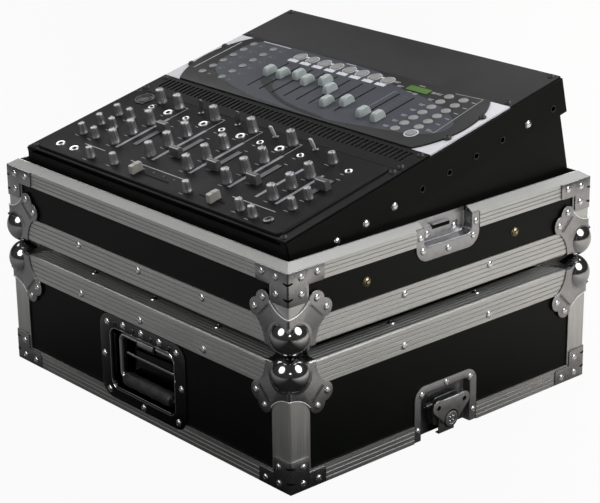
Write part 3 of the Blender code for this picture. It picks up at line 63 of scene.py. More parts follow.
def middle(node, axis=0):
    """Halfway between a solid's two ends."""
    return round(sum(ends(node, axis)) / 2, 5)


# Sizes of the case, in metres, as the solids have them
CASE_WIDTH = 2 * ends("lid_rim_front", 0)[1]
CASE_DEPTH = -2 * ends("lid_rim_front", 1)[0]
LID_HEIGHT = ends("lid_edging", 2)[1]
BASE_FLOOR = ends("base_edging", 2)[0]
BASE_RIM = ends("base_brace_front_right", 2)[1]
GAP = 0.0003
PRESSING = 0.0012
LAMINATE = 0.0019
FLANGE_BACK = GAP - LAMINATE
FLANGE_FRONT = FLANGE_BACK + PRESSING
QUARTER_TURNS = (0, 90, 180, 270)
TINY = 1e-6

# Edging rivets: how far in from the edge and along the face
EDGING_INSET = 0.0215
FRONT_PLACES = (-0.118, 0.0, 0.118)
SIDE_PLACES = (-0.069, 0.069)
EDGING_RIVET = (0.00475, 0.0023)
EDGING_LEG = 0.0295
LEG_LEVELS = ((0.0215, 0.1195), (0.1996, 0.2414))

# Ball corner
BALL_INSET = 0.0124
PETAL_START = 0.008
PETAL_EDGE = 0.038
PETAL_SIDE = (0.036, 126.3)
PETAL_LOBE = (0.0503, 0.0393, 0.0117)
PETAL_LOBE_TURN = (-62, 84)
PETAL_NOTCH = 0.0509
PETAL_LIP = 0.0007
BALL_RIVET = (0.0535, 0.0394)
COLLAR = 0.0030
COLLAR_SINK = (0.001, 0.0004)
FLANGE_FOLD = 0.0032
EMBOSS_PLACE = 0.0392
EMBOSS_FRAME = (0.0125, 0.0022, 0.0008)
EMBOSS_LINE = 0.0007
MARK_BAR = (0.01125, 0.0013, 0.0005)

# Brace
BRACE_ARM = 0.052
BRACE_LEG = 0.0272
BRACE_ARM_HEIGHT = 0.019
BRACE_HEIGHT = 0.039
BRACE_CORNER = 0.002
BRACE_STEP = 0.0002
BRACE_BEND = 0.0018
BRACE_RIVETS = ((0.0175, 0.0084), (0.0405, 0.0077), (0.0178, 0.0281))
BRACE_FOLD = 0.0036
DIMPLES = (0.0122, 0.0302)
DIMPLE_REACH = 0.0068
DIMPLE_SAG = 0.0009
DIMPLE_HALF = 0.0013
LID_BRACE_FOOT = 0.0008

# Flat rim round the recess of a pressed dish
DISH_RIM = 0.0010

# Latch: flange and recess as half width, top and corner radius
LATCH_FOOT = 0.0008
LATCH_FLANGE = (ends("latch_dish_right", 1)[1], ends("latch_dish_right", 2)[1], 0.0165)
LATCH_RECESS = (0.040, 0.0576, 0.009)
LATCH_FLOOR = FLANGE_FRONT - 0.0115
LATCH_BEAD = 0.0014
CARRIER = (0.021, 0.012, 0.048, 0.006)
SPRING = (0.0026, 0.0009, 7, 0.010)
SPRING_PLACE = (0.0262, 0.0395, -0.0035)
PIN_HALF = 0.034
PIN_RADIUS = 0.0013
HUB_HEIGHT = middle("latch_hub_right", 2)
HUB_RADIUS = 0.0100
HUB_SHAFT = (0.0042, 0.0075)
HUB_HOLLOW = (0.0068, 0.0062, 0.0009)
HUB_STUD_CIRCLE = 0.0036
HUB_STUD = (0.0013, 0.0009)
HUB_GAP = (0.0113, 0.0101, 0.0004)
HUB_PROUD = 0.0098
WING_FRONT = 0.009
WING_WALL = 0.0015
WING_NOTCH = 0.0116
WING_FOOT = 0.0170
WING_WAIST = (0.0125, 0.0132)
WING_DIP = (0.0088, 0.0267)
WING_FOLD = (0.0155, 0.0262, 0.0012)
EAR = (0.021, 0.039, 0.009)
EAR_HOLE = 0.0032
EAR_COLLAR = 0.0009
CLAW_PROUD = 0.001
CLAW_WALL = 0.0015
CLAW_HALF = 0.0127
CLAW_FOOT = 0.0009
CLAW_SHOULDER = 0.009
CLAW_TIP = (0.0045, 0.0075)
CLAW_LIP = (0.0125, 0.0058, 0.0014)
LATCH_RIVETS = ((-0.040, 0.058), (0.0, 0.063), (0.040, 0.058), (-0.0455, 0.014), (0.0455, 0.014))

# Keeper
KEEPER_RIVETS = (
    (-0.0443, -0.0102), (0.0443, -0.0102), (-0.0405, -0.0262), (0.0405, -0.0262), (0.0, -0.0317),
)
KEEPER_STUDS = ((-0.0215, -0.0132), (0.0215, -0.0132))
KEEPER_TOP = BASE_RIM + 0.0013
KEEPER_FLANGE = (ends("keeper_dish_right", 1)[1], BASE_RIM - 0.0392, 0.018)
KEEPER_RECESS = (0.038, BASE_RIM - 0.0222, 0.007)
KEEPER_BEAD = 0.0012
KEEPER_WALL = FLANGE_FRONT - 0.0135
KEEPER_BACK_HALF = 0.0385
KEEPER_BACK_TOP = BASE_RIM + 0.0058
KEEPER_LIP = (0.016, 0.0042, 0.0007)
KEEPER_LIP_LEVEL = BASE_RIM - 0.0026
KEEPER_STRIP = (0.0275, -0.0062, 0.0052, 0.002)
KEEPER_STRIP_LEVEL = BASE_RIM - 0.0112
KEEPER_STRIP_WALL = 0.0009
KEEPER_SLOT = (-0.014, 0.014, -0.0092, -0.0032)

# Handle; levels are low, high and the rounding of the upper edge
HANDLE_RIVETS = (
    (-0.067, 0.1075), (-0.035, 0.1115), (0.0, 0.1115), (0.035, 0.1115), (0.067, 0.1075),
    (-0.0745, 0.0645), (0.0745, 0.0645), (-0.067, 0.020), (0.0, 0.0165), (0.067, 0.020),
)
HANDLE_STUDS = (-0.052, -0.0175, 0.0175, 0.052)
HANDLE_STUD_HEIGHT = 0.1095
HANDLE_RIVET = (0.0046, 0.0024)
HANDLE_STUD = (0.0040, 0.0016)
HANDLE_FLANGE = (ends("handle_dish", 0)[1], *ends("handle_dish", 2), 0.020)
HANDLE_RECESS = (0.060, 0.0265, 0.1015, 0.010)
HANDLE_LINE = (0.0622, 0.0243, 0.1037, 0.0122)
HANDLE_LINE_RADIUS = 0.0007
HANDLE_FLOOR = FLANGE_FRONT - 0.0205
HANDLE_BEAD = 0.0024
STRAP = (0.0172, -0.0065, 0.0065, 0.0035)
STRAP_LEVELS = (-0.0042, 0.0056, 0.0015)
STRAP_FACE = (0.0150, -0.0034, 0.0034, 0.0016)
STRAP_FACE_LEVELS = (0.0050, 0.0061, 0.0004)
TONGUE = (0.0140, 0.004, 0.0110, 0.002)
TONGUE_LEVELS = (-0.0042, 0.0020, 0.0010)
SPRING_COVER = (0.0454, -0.0018, 0.0018, 0.0014)
SPRING_COVER_LEVELS = (FLANGE_FRONT - 0.0135, FLANGE_FRONT - 0.0110, 0.0006)
SPRING_COVER_HEIGHT = 0.0706
BAIL_PIVOT = (0.0945, FLANGE_FRONT - 0.0105)
BAIL_DROP = 0.057
BAIL_HALF = 0.0535
BAIL_RADIUS = 0.004
BAIL_BEND = 0.009
GRIP_HALF = 0.045
GRIP_RADIUS = 0.0078
GRIP_SWELL = 0.0003
GRIP_END = (0.003, 0.0010)

# Rack
RACK_TOP = (0.0, 0.2085, 0.3858)
RACK_SLOPE = 13.1
RACK_UNIT = 0.04445
RACK_LENGTH = 10 * RACK_UNIT
SCREW_X = 0.23255
SCREW_INSET = 0.00635
PANEL_SCREW = (0.0046, 0.0028)
SCREW_CROSS = (0.0024, 0.0004)
SCREW_CROSS_LEVELS = (0.0027, 0.0029)
PANEL_HALF = ends("blank_panel", 0)[1]
PANEL_WALL = 0.0020
PANEL_SPLIT = 0.0002
CHASSIS_HALF = 0.2222
CHASSIS_MARGIN = 0.0050
PANEL_BREAKS = (0, 2, 5, 6, 10)
RAIL_X = 0.244
RAIL_HOLE_DEPTH = 0.0325
RAIL_SCREWS = (1, 6, 7, 8)
RAIL_SCREW = (0.0048, 0.0026)
RAIL_EYE = ((0.0042, -0.0004), (0.0042, 0.0004), (0.0034, 0.0005), (0.0030, -0.0004))
BOLT_PLACES = (0.112, -0.126)
BOLT_LEVEL = BASE_RIM - 0.0398
BOLT_HEAD = (0.0057, 0.0035)
FILM = 0.0002
ON_RACK = ("base", "black_steel")
ON_DESK = ("base", "panel_grey")
ON_MIXER = ("base", "panel_black")

# Lighting controller, x across and s down the slope; a box is (left, right, low, high)
DESK_RAISE = 0.002
DESK_SCREWS = (0.0373, 0.0954)
DESK_SPAN = (2 * RACK_UNIT, 5 * RACK_UNIT)
DESK_FACE = (0.211, 0.235)
SCENE_PLACES = [middle(f"controller_slider_{number}") for number in range(1, 9)]
SPEED_PLACES = [middle(f"controller_slider_{number}") for number in (9, 10)]
SCENE_TICKS = (-0.0058, 0.1305, 0.0078, 9, 0.0009)
SPEED_TICKS = (0.0125, 0.1295, 0.0064, 11, 0.0050)
FINGER_CENTRES = (0.158, 0.156, 0.149, 0.156, 0.146, 0.160, 0.187, 0.175, 0.1875, 0.1875)
FINGER_SLOT = (0.1266, 0.197)
LEFT_KEYS = [(x, 0.1063 + 0.0178 * row) for x in (-0.1951, -0.1561) for row in range(6)]
NEAR_KEYS = [(0.1596, 0.1057 + 0.0151 * row) for row in range(7)]
FAR_KEYS = [(0.183, 0.1054 + 0.01506 * row) for row in range(6)]
ROUND_KEY = (0.1855, 0.196)
SCENE_KEY_LINE = 0.1057
LEFT_KEY_SIZE = (0.0056, 0.0050)
RIGHT_KEY_SIZE = (0.0064, 0.0056)
SCENE_KEY_RADIUS = 0.0078
ROUND_KEY_RADIUS = 0.0066
FINGER_CAP = (0.0196, 0.0090, 0.0108)
FINGER_SLOT_HALF = 0.0013
SCENE_RING = (0.0094, 0.0010)
SCENE_LABEL = (-0.0090, 0.0078, 0.1150, 0.1212)
SCENE_LINK = (0.0092, 0.0137, 0.1015, 0.1047)
ROUND_RING = (0.0090, 0.0018)
LEFT_BOX = (0.0075, 0.0004, 0.0135, 0.0054)
LEFT_BOX_LINE = 0.0005
LEFT_WORD = (0.0135, 0.0004, 0.0036, 0.0014)
NEAR_WORDS = ((-0.0158, -0.0011, 0.0046), (-0.0158, 0.0013, 0.0036))
FAR_WORD = (0.0160, -0.0005, 0.0036)
KEY_BRACKET = ((0.161, 0.0956), (0.203, 0.0927), (0.2098, 0.1828), (0.196, 0.183))
DESK_RULES = (
    (-0.2190, -0.2174, 0.108, 0.192),
    (0.0864, 0.0869, 0.125, 0.170),
    (0.0864, 0.0910, 0.1245, 0.125),
)
DESK_HEADINGS = ((-0.1630, 0.0938, 0.027, 0.0011), (-0.0220, 0.0935, 0.009, 0.0009))
SCREEN = (0.0935, 0.1292, 0.1022, 0.1134)
SCREEN_SURROUND = (0.0012, 0.0010)
SCREEN_GLASS = (0.0007, 0.0003)
DESK_DEPTH = 0.070
SCREEN_WORDS = (
    (0.0825, 0.1095, 0.0050), (0.0815, 0.1120, 0.0040), (0.1045, 0.1170, 0.0040),
    (0.1145, 0.1172, 0.0040), (0.1150, 0.1194, 0.0034), (0.1350, 0.1050, 0.0040),
    (0.1352, 0.1074, 0.0036), (0.1085, 0.0985, 0.0050), (0.0700, 0.1030, 0.0060),
    (0.0690, 0.1054, 0.0046),
)
KEY_RISE = 0.0011
FIELD = (
    (-0.196, 0.098), (-0.204, 0.130), (-0.201, 0.160), (-0.187, 0.181), (-0.163, 0.194),
    (-0.120, 0.207), (-0.070, 0.2165), (-0.020, 0.2190), (0.030, 0.2190), (0.076, 0.2160),
    (0.1345, 0.207), (0.180, 0.1985), (0.2095, 0.1855), (0.218, 0.168), (0.211, 0.152),
    (0.1766, 0.132), (0.131, 0.120), (0.100, 0.1165), (0.069, 0.111), (0.046, 0.100),
    (0.020, 0.0925), (-0.050, 0.0912), (-0.150, 0.0912),
)
CRESCENT = (
    (-0.105, 0.172), (-0.0948, 0.1829), (-0.0721, 0.1943), (-0.0403, 0.2071), (-0.018, 0.2133),
    (0.010, 0.2178), (0.056, 0.2182), (0.0452, 0.2145), (0.0064, 0.2112), (-0.0295, 0.2045),
    (-0.0575, 0.1930), (-0.0738, 0.1820), (-0.083, 0.170),
)

# Mixer, places as read on the panel plane, shifted to where they lie on the raised face
MIXER_RAISE = 0.0033
MIXER_DEPTH = 0.085
MIXER_FRONT_ROOM = 0.010
MIXER_FACE = (0.2275, 0.0035, 0.008, 0.0022)
MIXER_SHIFT = (0.0052, 0.0038)
MIXER_SPAN = (6 * RACK_UNIT, RACK_LENGTH)
KNOB_PLACES = [
    (x, s) for x in (-0.1387, -0.0674, 0.0038, 0.075, 0.1545) for s in (0.3267, 0.355, 0.3833)
]
KNOB_PLACES += [(x, 0.280) for x in (-0.175, -0.140, -0.069, 0.002, 0.073)]
SMALL_KNOB_PLACES = [(x, s) for x in (-0.2007, -0.175) for s in (0.3297, 0.3579, 0.386)]
SMALL_KNOB_PLACES += [(0.1525, 0.2895), (0.191, 0.363), (0.192, 0.388)]
SMALL_KNOB_PLACES += [
    (-0.1353, 0.423),
    (-0.0937, 0.419),
    (0.048, 0.421),
    (0.139, 0.419),
    (0.165, 0.423),
]
TOGGLE_PLACES = [(x, 0.278) for x in (-0.1003, -0.0303, 0.0397, 0.1097)]
CUE_PLACES = [(x, 0.297) for x in (-0.142, -0.0727, -0.0027, 0.068)]
CUE_PLACES += [(-0.2028, 0.420), (-0.1745, 0.420)]
SMALL_BUTTON_PLACES = [(x, 0.2967) for x in (-0.176, -0.107, -0.038, 0.033, 0.104, 0.1853)]
KNOB_SCALE = 0.0086
SMALL_KNOB_SCALE = 0.0074
DOT_RADIUS = 0.0004
KNOB_WORD = (-0.0030, 0.0010, 0.0036)
BUTTON_WORD = (-0.0020, 0.0088, 0.0030)
FADER_STRIP = (-0.0090, -0.0014)
FADER_WORD = (-0.0046, 0.0030)
CROSS_TICK = (-0.0002, 0.0002, -0.0099, -0.0071)
FINE_BAR = (0.0004, 2)
CUE_BUTTON = (0.0062, 0.0018)
SMALL_BUTTON = (0.0046, 0.0015)
TOGGLE_NUT = ((0.0042, -0.0003), (0.0042, 0.0010), (0.0034, 0.0016), (0.0024, 0.0018), (0, 0.0018))
CHANNEL_BARS = (-0.127, -0.0557, 0.0142, 0.085)
CHANNEL_BAR = (
    (-0.0006, 0.0006, 0.277, 0.309),
    (-0.0130, 0.0006, 0.2762, 0.2774),
    (-0.0023, 0.0023, 0.307, 0.391),
)
MASTER_BARS = (0.1325, 0.1662)
MASTER_BAR = (-0.0021, 0.0021, 0.318, 0.391)
HEADING_LINES = ((-0.168, -0.126, 0.408), (-0.075, 0.030, 0.4085), (0.112, 0.186, 0.4075))
JACK = (0.188, 0.4207)
JACK_NUT = (
    (0.0062, -0.0003), (0.0062, 0.0016), (0.0050, 0.0022), (0.0036, 0.0022), (0.0032, 0.0006),
    (0, 0.0006),
)
SOCKET = (-0.205, 0.285)
SOCKET_FLANGE = (
    (0.0135, -0.0003), (0.0135, 0.0008), (0.0128, 0.0014), (0.0108, 0.0014), (0.0104, 0.0002),
    (0.0, 0.0002),
)
SOCKET_INNER = ((0.0084, 0.0), (0.0084, 0.0013), (0.0068, 0.0015), (0.0060, 0.0004), (0, 0.0004))
SOCKET_SCREWS = ((-0.0092, 0.0110), (0.0092, -0.0110))
SOCKET_SCREW = (0.0018, 0.0010)
FADER_PLACES = [middle(f"channel_fader_{number}") for number in range(1, 5)]
FADER_CENTRES = (0.336, 0.3725, 0.3725, 0.3725)
FADER_CAP = (0.0091, 0.0043, 0.0120)
CROSS_CAP = (0.0038, 0.0084, 0.0104, 0.90)
FADER_SLOT = (0.3285, 0.3785)
SLOT_HALF = 0.0012
MASTER = (middle("master_fader"), 0.343)
MASTER_SLOT = (0.325, 0.359)
CROSS_LINE = 0.4235
CROSS_CENTRE = middle("crossfader")
CROSS_SLOT = (-0.060, 0.016)
CURVE_CAP = (0.099, 0.4235)
CURVE_SLOT = (0.072, 0.118)
CURVE_SLOT_HALF = 0.0010


# Settings that a user may change


def amount(name, what, value, low, high):
    """A length in metres, with its range."""
    return bpy.props.FloatProperty(
        name=name, description=what, default=value, min=low, max=high, unit="LENGTH", precision=4
    )


def share(name, what, value):
    """A number from 0 to 1."""
    return bpy.props.FloatProperty(
        name=name, description=what, default=value, min=0, max=1, subtype="FACTOR"
    )


def colour(name, what, value):
    """A linear colour."""
    return bpy.props.FloatVectorProperty(
        name=name, description=what, default=value, min=0, max=1, size=3, subtype="COLOR"
    )


def watts(name, what, value):
    """Power of a lamp."""
    return bpy.props.FloatProperty(name=name, description=what, default=value, unit="POWER")


class CASE_PG_sizes(bpy.types.PropertyGroup):
    """Sizes of the pieces that the looks add."""

    rivet_radius: amount("Rivet radius", "Radius of a rivet head", 0.0043, 0.001, 0.01)
    rivet_height: amount("Rivet height", "Height of a rivet head", 0.0021, 0.0005, 0.005)
    ball_radius: amount("Ball radius", "Radius of a ball corner", 0.0221, 0.01, 0.03)
    edge_round: amount("Edge", "Rounding of a pressed edge", 0.00045, 0.0001, 0.001)
    knob_radius: amount("Knob radius", "Foot radius of a large knob", 0.0064, 0.003, 0.01)
    knob_height: amount("Knob height", "Height of a large knob", 0.0184, 0.005, 0.03)
    small_knob_radius: amount("Small knob", "Foot radius of a small knob", 0.0053, 0.003, 0.01)
    small_knob_height: amount("Small knob height", "Height of a small knob", 0.0140, 0.005, 0.03)


class CASE_PG_colours(bpy.types.PropertyGroup):
    """Colours of the finishes."""

    laminate: colour("Laminate", "Black laminate on the walls", (0.0021, 0.0026, 0.0021))
    aluminium: colour("Aluminium", "Extruded edging", (0.50, 0.50, 0.49))
    nickel: colour("Plated steel", "Flanges and braces", (0.30, 0.30, 0.305))
    chrome: colour("Chrome", "Balls", (0.27, 0.27, 0.275))
    # The bail's own chrome; the dish's bead and the spring cover also take it, as a painted highlight.
    bright_bar: colour("Bright bar", "Handle's bail", (0.62, 0.62, 0.63))
    rivet: colour("Rivets", "Rivet heads", (0.75, 0.75, 0.76))
    # The lips' pale colour is a painted highlight along the rolled edges.
    lip: colour("Lips", "Rolled edges of the ball corners", (0.85, 0.85, 0.85))
    dark_chrome: colour("Black chrome", "Handle dish", (0.048, 0.049, 0.048))
    zinc: colour("Zinc", "Latches and keepers", (0.33, 0.33, 0.34))
    rubber: colour("Rubber", "Handle grip", (0.011, 0.011, 0.011))
    panel: colour("Panel", "Black rack panels", (0.013, 0.013, 0.013))
    mixer: colour("Mixer", "Face of the mixer", (0.0045, 0.0045, 0.0048))
    plywood: colour("Plywood", "Black stained rack housing", (0.0024, 0.0027, 0.0024))
    print_pale: colour("Pale print", "White areas and lines", (0.43, 0.43, 0.455))
    print_line: colour("Fine print", "Thin lines and marks", (0.26, 0.26, 0.27))
    print_dim: colour("Dim print", "Scales and dots", (0.085, 0.085, 0.090))
    print_grey: colour("Grey print", "Bars beside the channels", (0.17, 0.17, 0.19))
    desk_dark: colour("Desk", "Dark face of the controller", (0.0115, 0.0115, 0.0120))
    desk_lens: colour("Desk lens", "Bluish field of the controller", (0.038, 0.041, 0.051))
    cap_green: colour("Slider caps", "Pale caps of the controller", (0.265, 0.297, 0.293))
    key_grey: colour("Keys", "Soft keys of the controller", (0.165, 0.165, 0.160))
    key_dim: colour("Dim keys", "Keys of the left columns", (0.115, 0.115, 0.120))
    screen: colour("Screen", "Lit screen", (0.048, 0.105, 0.022))
    knob: colour("Knobs", "Smoked metal knobs", (0.23, 0.23, 0.235))
    bat: colour("Toggles", "Pale toggle levers", (0.46, 0.46, 0.45))
    fader: colour("Faders", "Channel fader caps", (0.11, 0.11, 0.112))
    fader_pale: colour("Pale fader", "Crossfader caps", (0.205, 0.200, 0.180))
    brass: colour("Brass", "Housing bolts", (0.42, 0.36, 0.22))


class CASE_PG_stage(bpy.types.PropertyGroup):
    """Camera and lights."""

    lens: bpy.props.FloatProperty(
        name="Lens", description="Focal length on a 36 mm sensor", default=116.4, unit="CAMERA"
    )
    floor_white: share("Floor white", "How much of the floor's own white the camera sees", 0.95)
    surround: share("Surround", "Level of the room's own light", 0.08)
    floor_left: share("Left floor", "Paleness of the floor left of the case", 0.30)
    floor_front: share("Front floor", "Paleness of the floor in front of the corner", 0.03)
    floor_right: share("Right floor", "Paleness of the floor right of the case", 0.66)
    key: watts("Key", "Right lamp", 46)
    fill: watts("Fill", "Left lamp", 26)
    back: watts("Back", "Lamp over the back", 36)
    side: watts("Side", "Lamp over the left", 24)
    eye: watts("Eye", "Lamp by the camera", 3)


def sizes():
    """The scene's own sizes, as its panel has them."""
    return bpy.context.scene.case_sizes


def colours():
    """The scene's own colours, as its panel has them."""
    return bpy.context.scene.case_colours


# Surfaces: a shape is (points, faces)


def skin(points, wrap=True, start=True, end=True):
    """Quads over a grid of points; a wrapped row is a loop, and the first and last may be capped."""
    rows, columns = points.shape[:2]
    index = np.arange(rows * columns).reshape(rows, columns)
    if wrap:
        index = np.concatenate([index, index[:, :1]], axis=1)
    quads = np.stack([index[:-1, :-1], index[:-1, 1:], index[1:, 1:], index[1:, :-1]], axis=-1)
    faces = quads.reshape(-1, 4).tolist()
    first = list(range(columns))
    if start:
        faces.append(first[::-1])
    if end:
        faces.append([(rows - 1) * columns + i for i in first])
    return points.reshape(-1, 3), faces


def united(shapes):
    """Several shapes as one, each with its own points."""
    points = []
    faces = []
    count = 0
    for shape_points, shape_faces in shapes:
        points.append(shape_points)
        faces += [[i + count for i in face] for face in shape_faces]
        count += len(shape_points)
    return np.concatenate(points), faces


def placed(shape, matrix):
    """A shape carried through a 4 by 4 matrix."""
    points, faces = shape
    return points @ matrix[:3, :3].T + matrix[:3, 3], faces


def carried(shapes, matrix):
    """Several shapes, all through one matrix."""
    return [placed(shape, matrix) for shape in shapes]


def turning(axis, degrees):
    """Turn about one of the three axes: the plane of the other two goes round by the angle."""
    a = math.radians(degrees)
    made = np.eye(4)
    i, j = {"x": (1, 2), "y": (2, 0), "z": (0, 1)}[axis]
    made[i, i] = made[j, j] = math.cos(a)
    made[i, j] = -math.sin(a)
    made[j, i] = math.sin(a)
    return made


def shift(x=0.0, y=0.0, z=0.0):
    """Matrix that moves and doesn't turn."""
    made = np.eye(4)
    made[:3, 3] = (x, y, z)
    return made


def frame_of(right, up, out, origin=(0, 0, 0)):
    """Matrix from (across, up, outward) to the case's own axes."""
    made = np.eye(4)
    made[:3, 0] = right
    made[:3, 1] = up
    made[:3, 2] = out
    made[:3, 3] = origin
    return made


UP = (0, 0, 1)
RIGHT_FACE = frame_of((0, 1, 0), UP, (1, 0, 0), (CASE_WIDTH / 2, 0, 0))
LEFT_FACE = frame_of((0, -1, 0), UP, (-1, 0, 0), (-CASE_WIDTH / 2, 0, 0))
FRONT_FACE = frame_of((1, 0, 0), UP, (0, -1, 0), (0, -CASE_DEPTH / 2, 0))
BACK_FACE = frame_of((-1, 0, 0), UP, (0, 1, 0), (0, CASE_DEPTH / 2, 0))
RACK = shift(*RACK_TOP) @ turning("x", RACK_SLOPE)
SIDES = (("right", RIGHT_FACE), ("left", LEFT_FACE))
WALLS = (
    (RIGHT_FACE, SIDE_PLACES),
    (LEFT_FACE, SIDE_PLACES),
    (FRONT_FACE, FRONT_PLACES),
    (BACK_FACE, FRONT_PLACES),
)


def revolved(profile, sides=16):
    """A profile of (radius, height) carried round the z axis: x = r cos t, y = r sin t."""
    radius, height = np.array(profile, float).T
    turn = np.arange(sides) * 2 * math.pi / sides
    x = radius[:, None] * np.cos(turn)
    y = radius[:, None] * np.sin(turn)
    z = np.broadcast_to(height[:, None], x.shape)
    return skin(np.stack([x, y, z], axis=-1), True, radius[0] > TINY, radius[-1] > TINY)


def ellipsoid(radii, centre=(0, 0, 0), rings=12, sides=20):
    """A ball stretched along its axes: latitude and longitude on a grid."""
    latitude = np.linspace(-math.pi / 2, math.pi / 2, rings + 1)
    turn = np.arange(sides) * 2 * math.pi / sides
    x = np.cos(latitude)[:, None] * np.cos(turn) * radii[0] + centre[0]
    y = np.cos(latitude)[:, None] * np.sin(turn) * radii[1] + centre[1]
    z = np.sin(latitude)[:, None] * np.ones(sides) * radii[2] + centre[2]
    return skin(np.stack([x, y, z], axis=-1), True, False, False)


def inset(outline, distance):
    """An outline moved inwards: each point goes along the mean of its two edges' normals."""
    outline = np.asarray(outline, float)
    ahead = np.roll(outline, -1, axis=0) - outline
    ahead /= np.linalg.norm(ahead, axis=1)[:, None]
    normal = np.stack([-ahead[:, 1], ahead[:, 0]], axis=1)
    mean = normal + np.roll(normal, 1, axis=0)
    length = np.maximum((mean**2).sum(axis=1), 0.6)
    area = np.sum(outline[:, 0] * np.roll(outline[:, 1], -1) - outline[:, 1] * np.roll(outline[:, 0], -1))
    return outline + math.copysign(1, area) * distance * 2 * mean / length[:, None]


def at_height(outline, height):
    """A flat outline as points in space, all at one height."""
    flat = np.asarray(outline, float)
    return np.column_stack([flat, np.full(len(flat), height)])


def plate(outline, low, high, edge=0.0):
    """A flat plate: the outline carried up its side and over a quarter round edge."""
    rows = [at_height(outline, low)]
    if edge:
        for angle in (0, 30, 60, 90):
            a = math.radians(angle)
            inward = inset(outline, edge * (1 - math.cos(a)))
            rows.append(at_height(inward, high - edge + edge * math.sin(a)))
    else:
        rows.append(at_height(outline, high))
    return skin(np.array(rows))


def arc(x, y, radius, start, end, steps):
    """Points on a circle, angles in degrees."""
    turn = np.radians(np.linspace(start, end, steps + 1))
    return np.column_stack([x + radius * np.cos(turn), y + radius * np.sin(turn)])


def round_box(half_w, low, high, radius, steps=6):
    """Outline of a rectangle with round corners."""
    right, left = half_w - radius, radius - half_w
    return np.concatenate(
        [
            arc(right, low + radius, radius, -90, 0, steps),
            arc(right, high - radius, radius, 0, 90, steps),
            arc(left, high - radius, radius, 90, 180, steps),
            arc(left, low + radius, radius, 180, 270, steps),
        ]
    )


def rectangle(left, right, low, high):
    """Outline of a rectangle, anticlockwise from its low left corner."""
    return np.array([(left, low), (right, low), (right, high), (left, high)], float)


def stadium(x, y, half_length, radius, steps=8):
    """Outline of a bar with round ends, lying along x."""
    return np.concatenate(
        [
            arc(x + half_length - radius, y, radius, -90, 90, steps),
            arc(x - half_length + radius, y, radius, 90, 270, steps),
        ]
    )


def ring(outline, width, low, high):
    """A line of some width along a closed outline: its square section carried round."""
    inner = inset(outline, width)
    rows = [at_height(outline, low), at_height(outline, high), at_height(inner, high), at_height(inner, low)]
    rows.append(rows[0])
    return skin(np.array(rows), True, False, False)


def tube(path, radius, sides=14, closed=False):
    """A circle carried along a path, square to it: point + r (cos t n + sin t b)."""
    path = np.asarray(path, float)
    if closed:
        ahead = np.roll(path, -1, axis=0) - np.roll(path, 1, axis=0)
    else:
        ahead = np.gradient(path, axis=0)
    ahead /= np.linalg.norm(ahead, axis=1)[:, None]
    spread = np.ptp(path, axis=0)
    lift = np.zeros(3)
    lift[int(np.argmin(spread))] = 1
    side = np.cross(ahead, lift)
    side /= np.linalg.norm(side, axis=1)[:, None]
    other = np.cross(ahead, side)
    turn = np.arange(sides) * 2 * math.pi / sides
    rows = path[:, None] + radius * (
        np.cos(turn)[None, :, None] * side[:, None] + np.sin(turn)[None, :, None] * other[:, None]
    )
    if closed:
        rows = np.concatenate([rows, rows[:1]])
    return skin(rows, True, not closed, not closed)


def rivet(radius, height, dip=True):
    """A dome of radius r cos a and height h sin a, with a small hole where its pin broke off."""
    rise = np.radians([0, 22, 42, 60, 74])
    profile = [(radius, -0.0006), (radius, 0.00025)]
    for r, h in zip(np.cos(rise) * radius * 0.97, np.sin(rise) * (height - 0.0003) + 0.0003):
        profile.append((r, h))
    if dip:
        profile += [(radius * 0.24, height * 0.86), (0, height * 0.84)]
    else:
        profile += [(0, height)]
    return revolved(profile, 14)


def add_piece(name, shapes, look, body, slot, stands_for=(), angle=32):
    """Puts a shape into a mesh, its doubles merged and faces outwards, riding on its body."""
    points, faces = united(shapes)
    mesh = bpy.data.meshes.new(name)
    mesh.from_pydata(points.tolist(), [], faces)
    work = bmesh.new()
    work.from_mesh(mesh)
    bmesh.ops.remove_doubles(work, verts=work.verts, dist=TINY)
    bmesh.ops.dissolve_degenerate(work, edges=work.edges, dist=TINY)
    bmesh.ops.recalc_face_normals(work, faces=work.faces)
    work.to_mesh(mesh)
    work.free()
    mesh.shade_smooth()
    mesh.set_sharp_from_angle(angle=math.radians(angle))
    mesh.materials.append(finish(look))
    made = bpy.data.objects.new(name, mesh)
    bpy.context.scene.collection.objects.link(made)
    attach(made, body)
    if stands_for:
        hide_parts(*stands_for)
    return made


# Materials: shader maths written as Python expressions


class Socket:
    """An output socket, with arithmetic that adds Math nodes."""

    def __init__(self, finish, socket):
        self.finish = finish
        self.socket = socket

    def math(self, operation, *others):
        """A Math node on this value and others."""
        return self.finish.node(
            "ShaderNodeMath", {"operation": operation}, {i: v for i, v in enumerate((self, *others))}
        )

    def __add__(self, other):
        return self.math("ADD", other)

    __radd__ = __add__

    def __mul__(self, other):
        return self.math("MULTIPLY", other)

    __rmul__ = __mul__

    def __sub__(self, other):
        return self.math("SUBTRACT", other)

    def __rsub__(self, other):
        return self.finish.node("ShaderNodeMath", {"operation": "SUBTRACT"}, {0: other, 1: self})

    def above(self, level):
        """1 where the value is over a level, or else 0."""
        return self.math("GREATER_THAN", level)

    def clipped(self, low, high):
        """0 below low, 1 above high, straight between."""
        return self.finish.node(
            "ShaderNodeMapRange", {"clamp": True}, {"Value": self, "From Min": low, "From Max": high}
        )


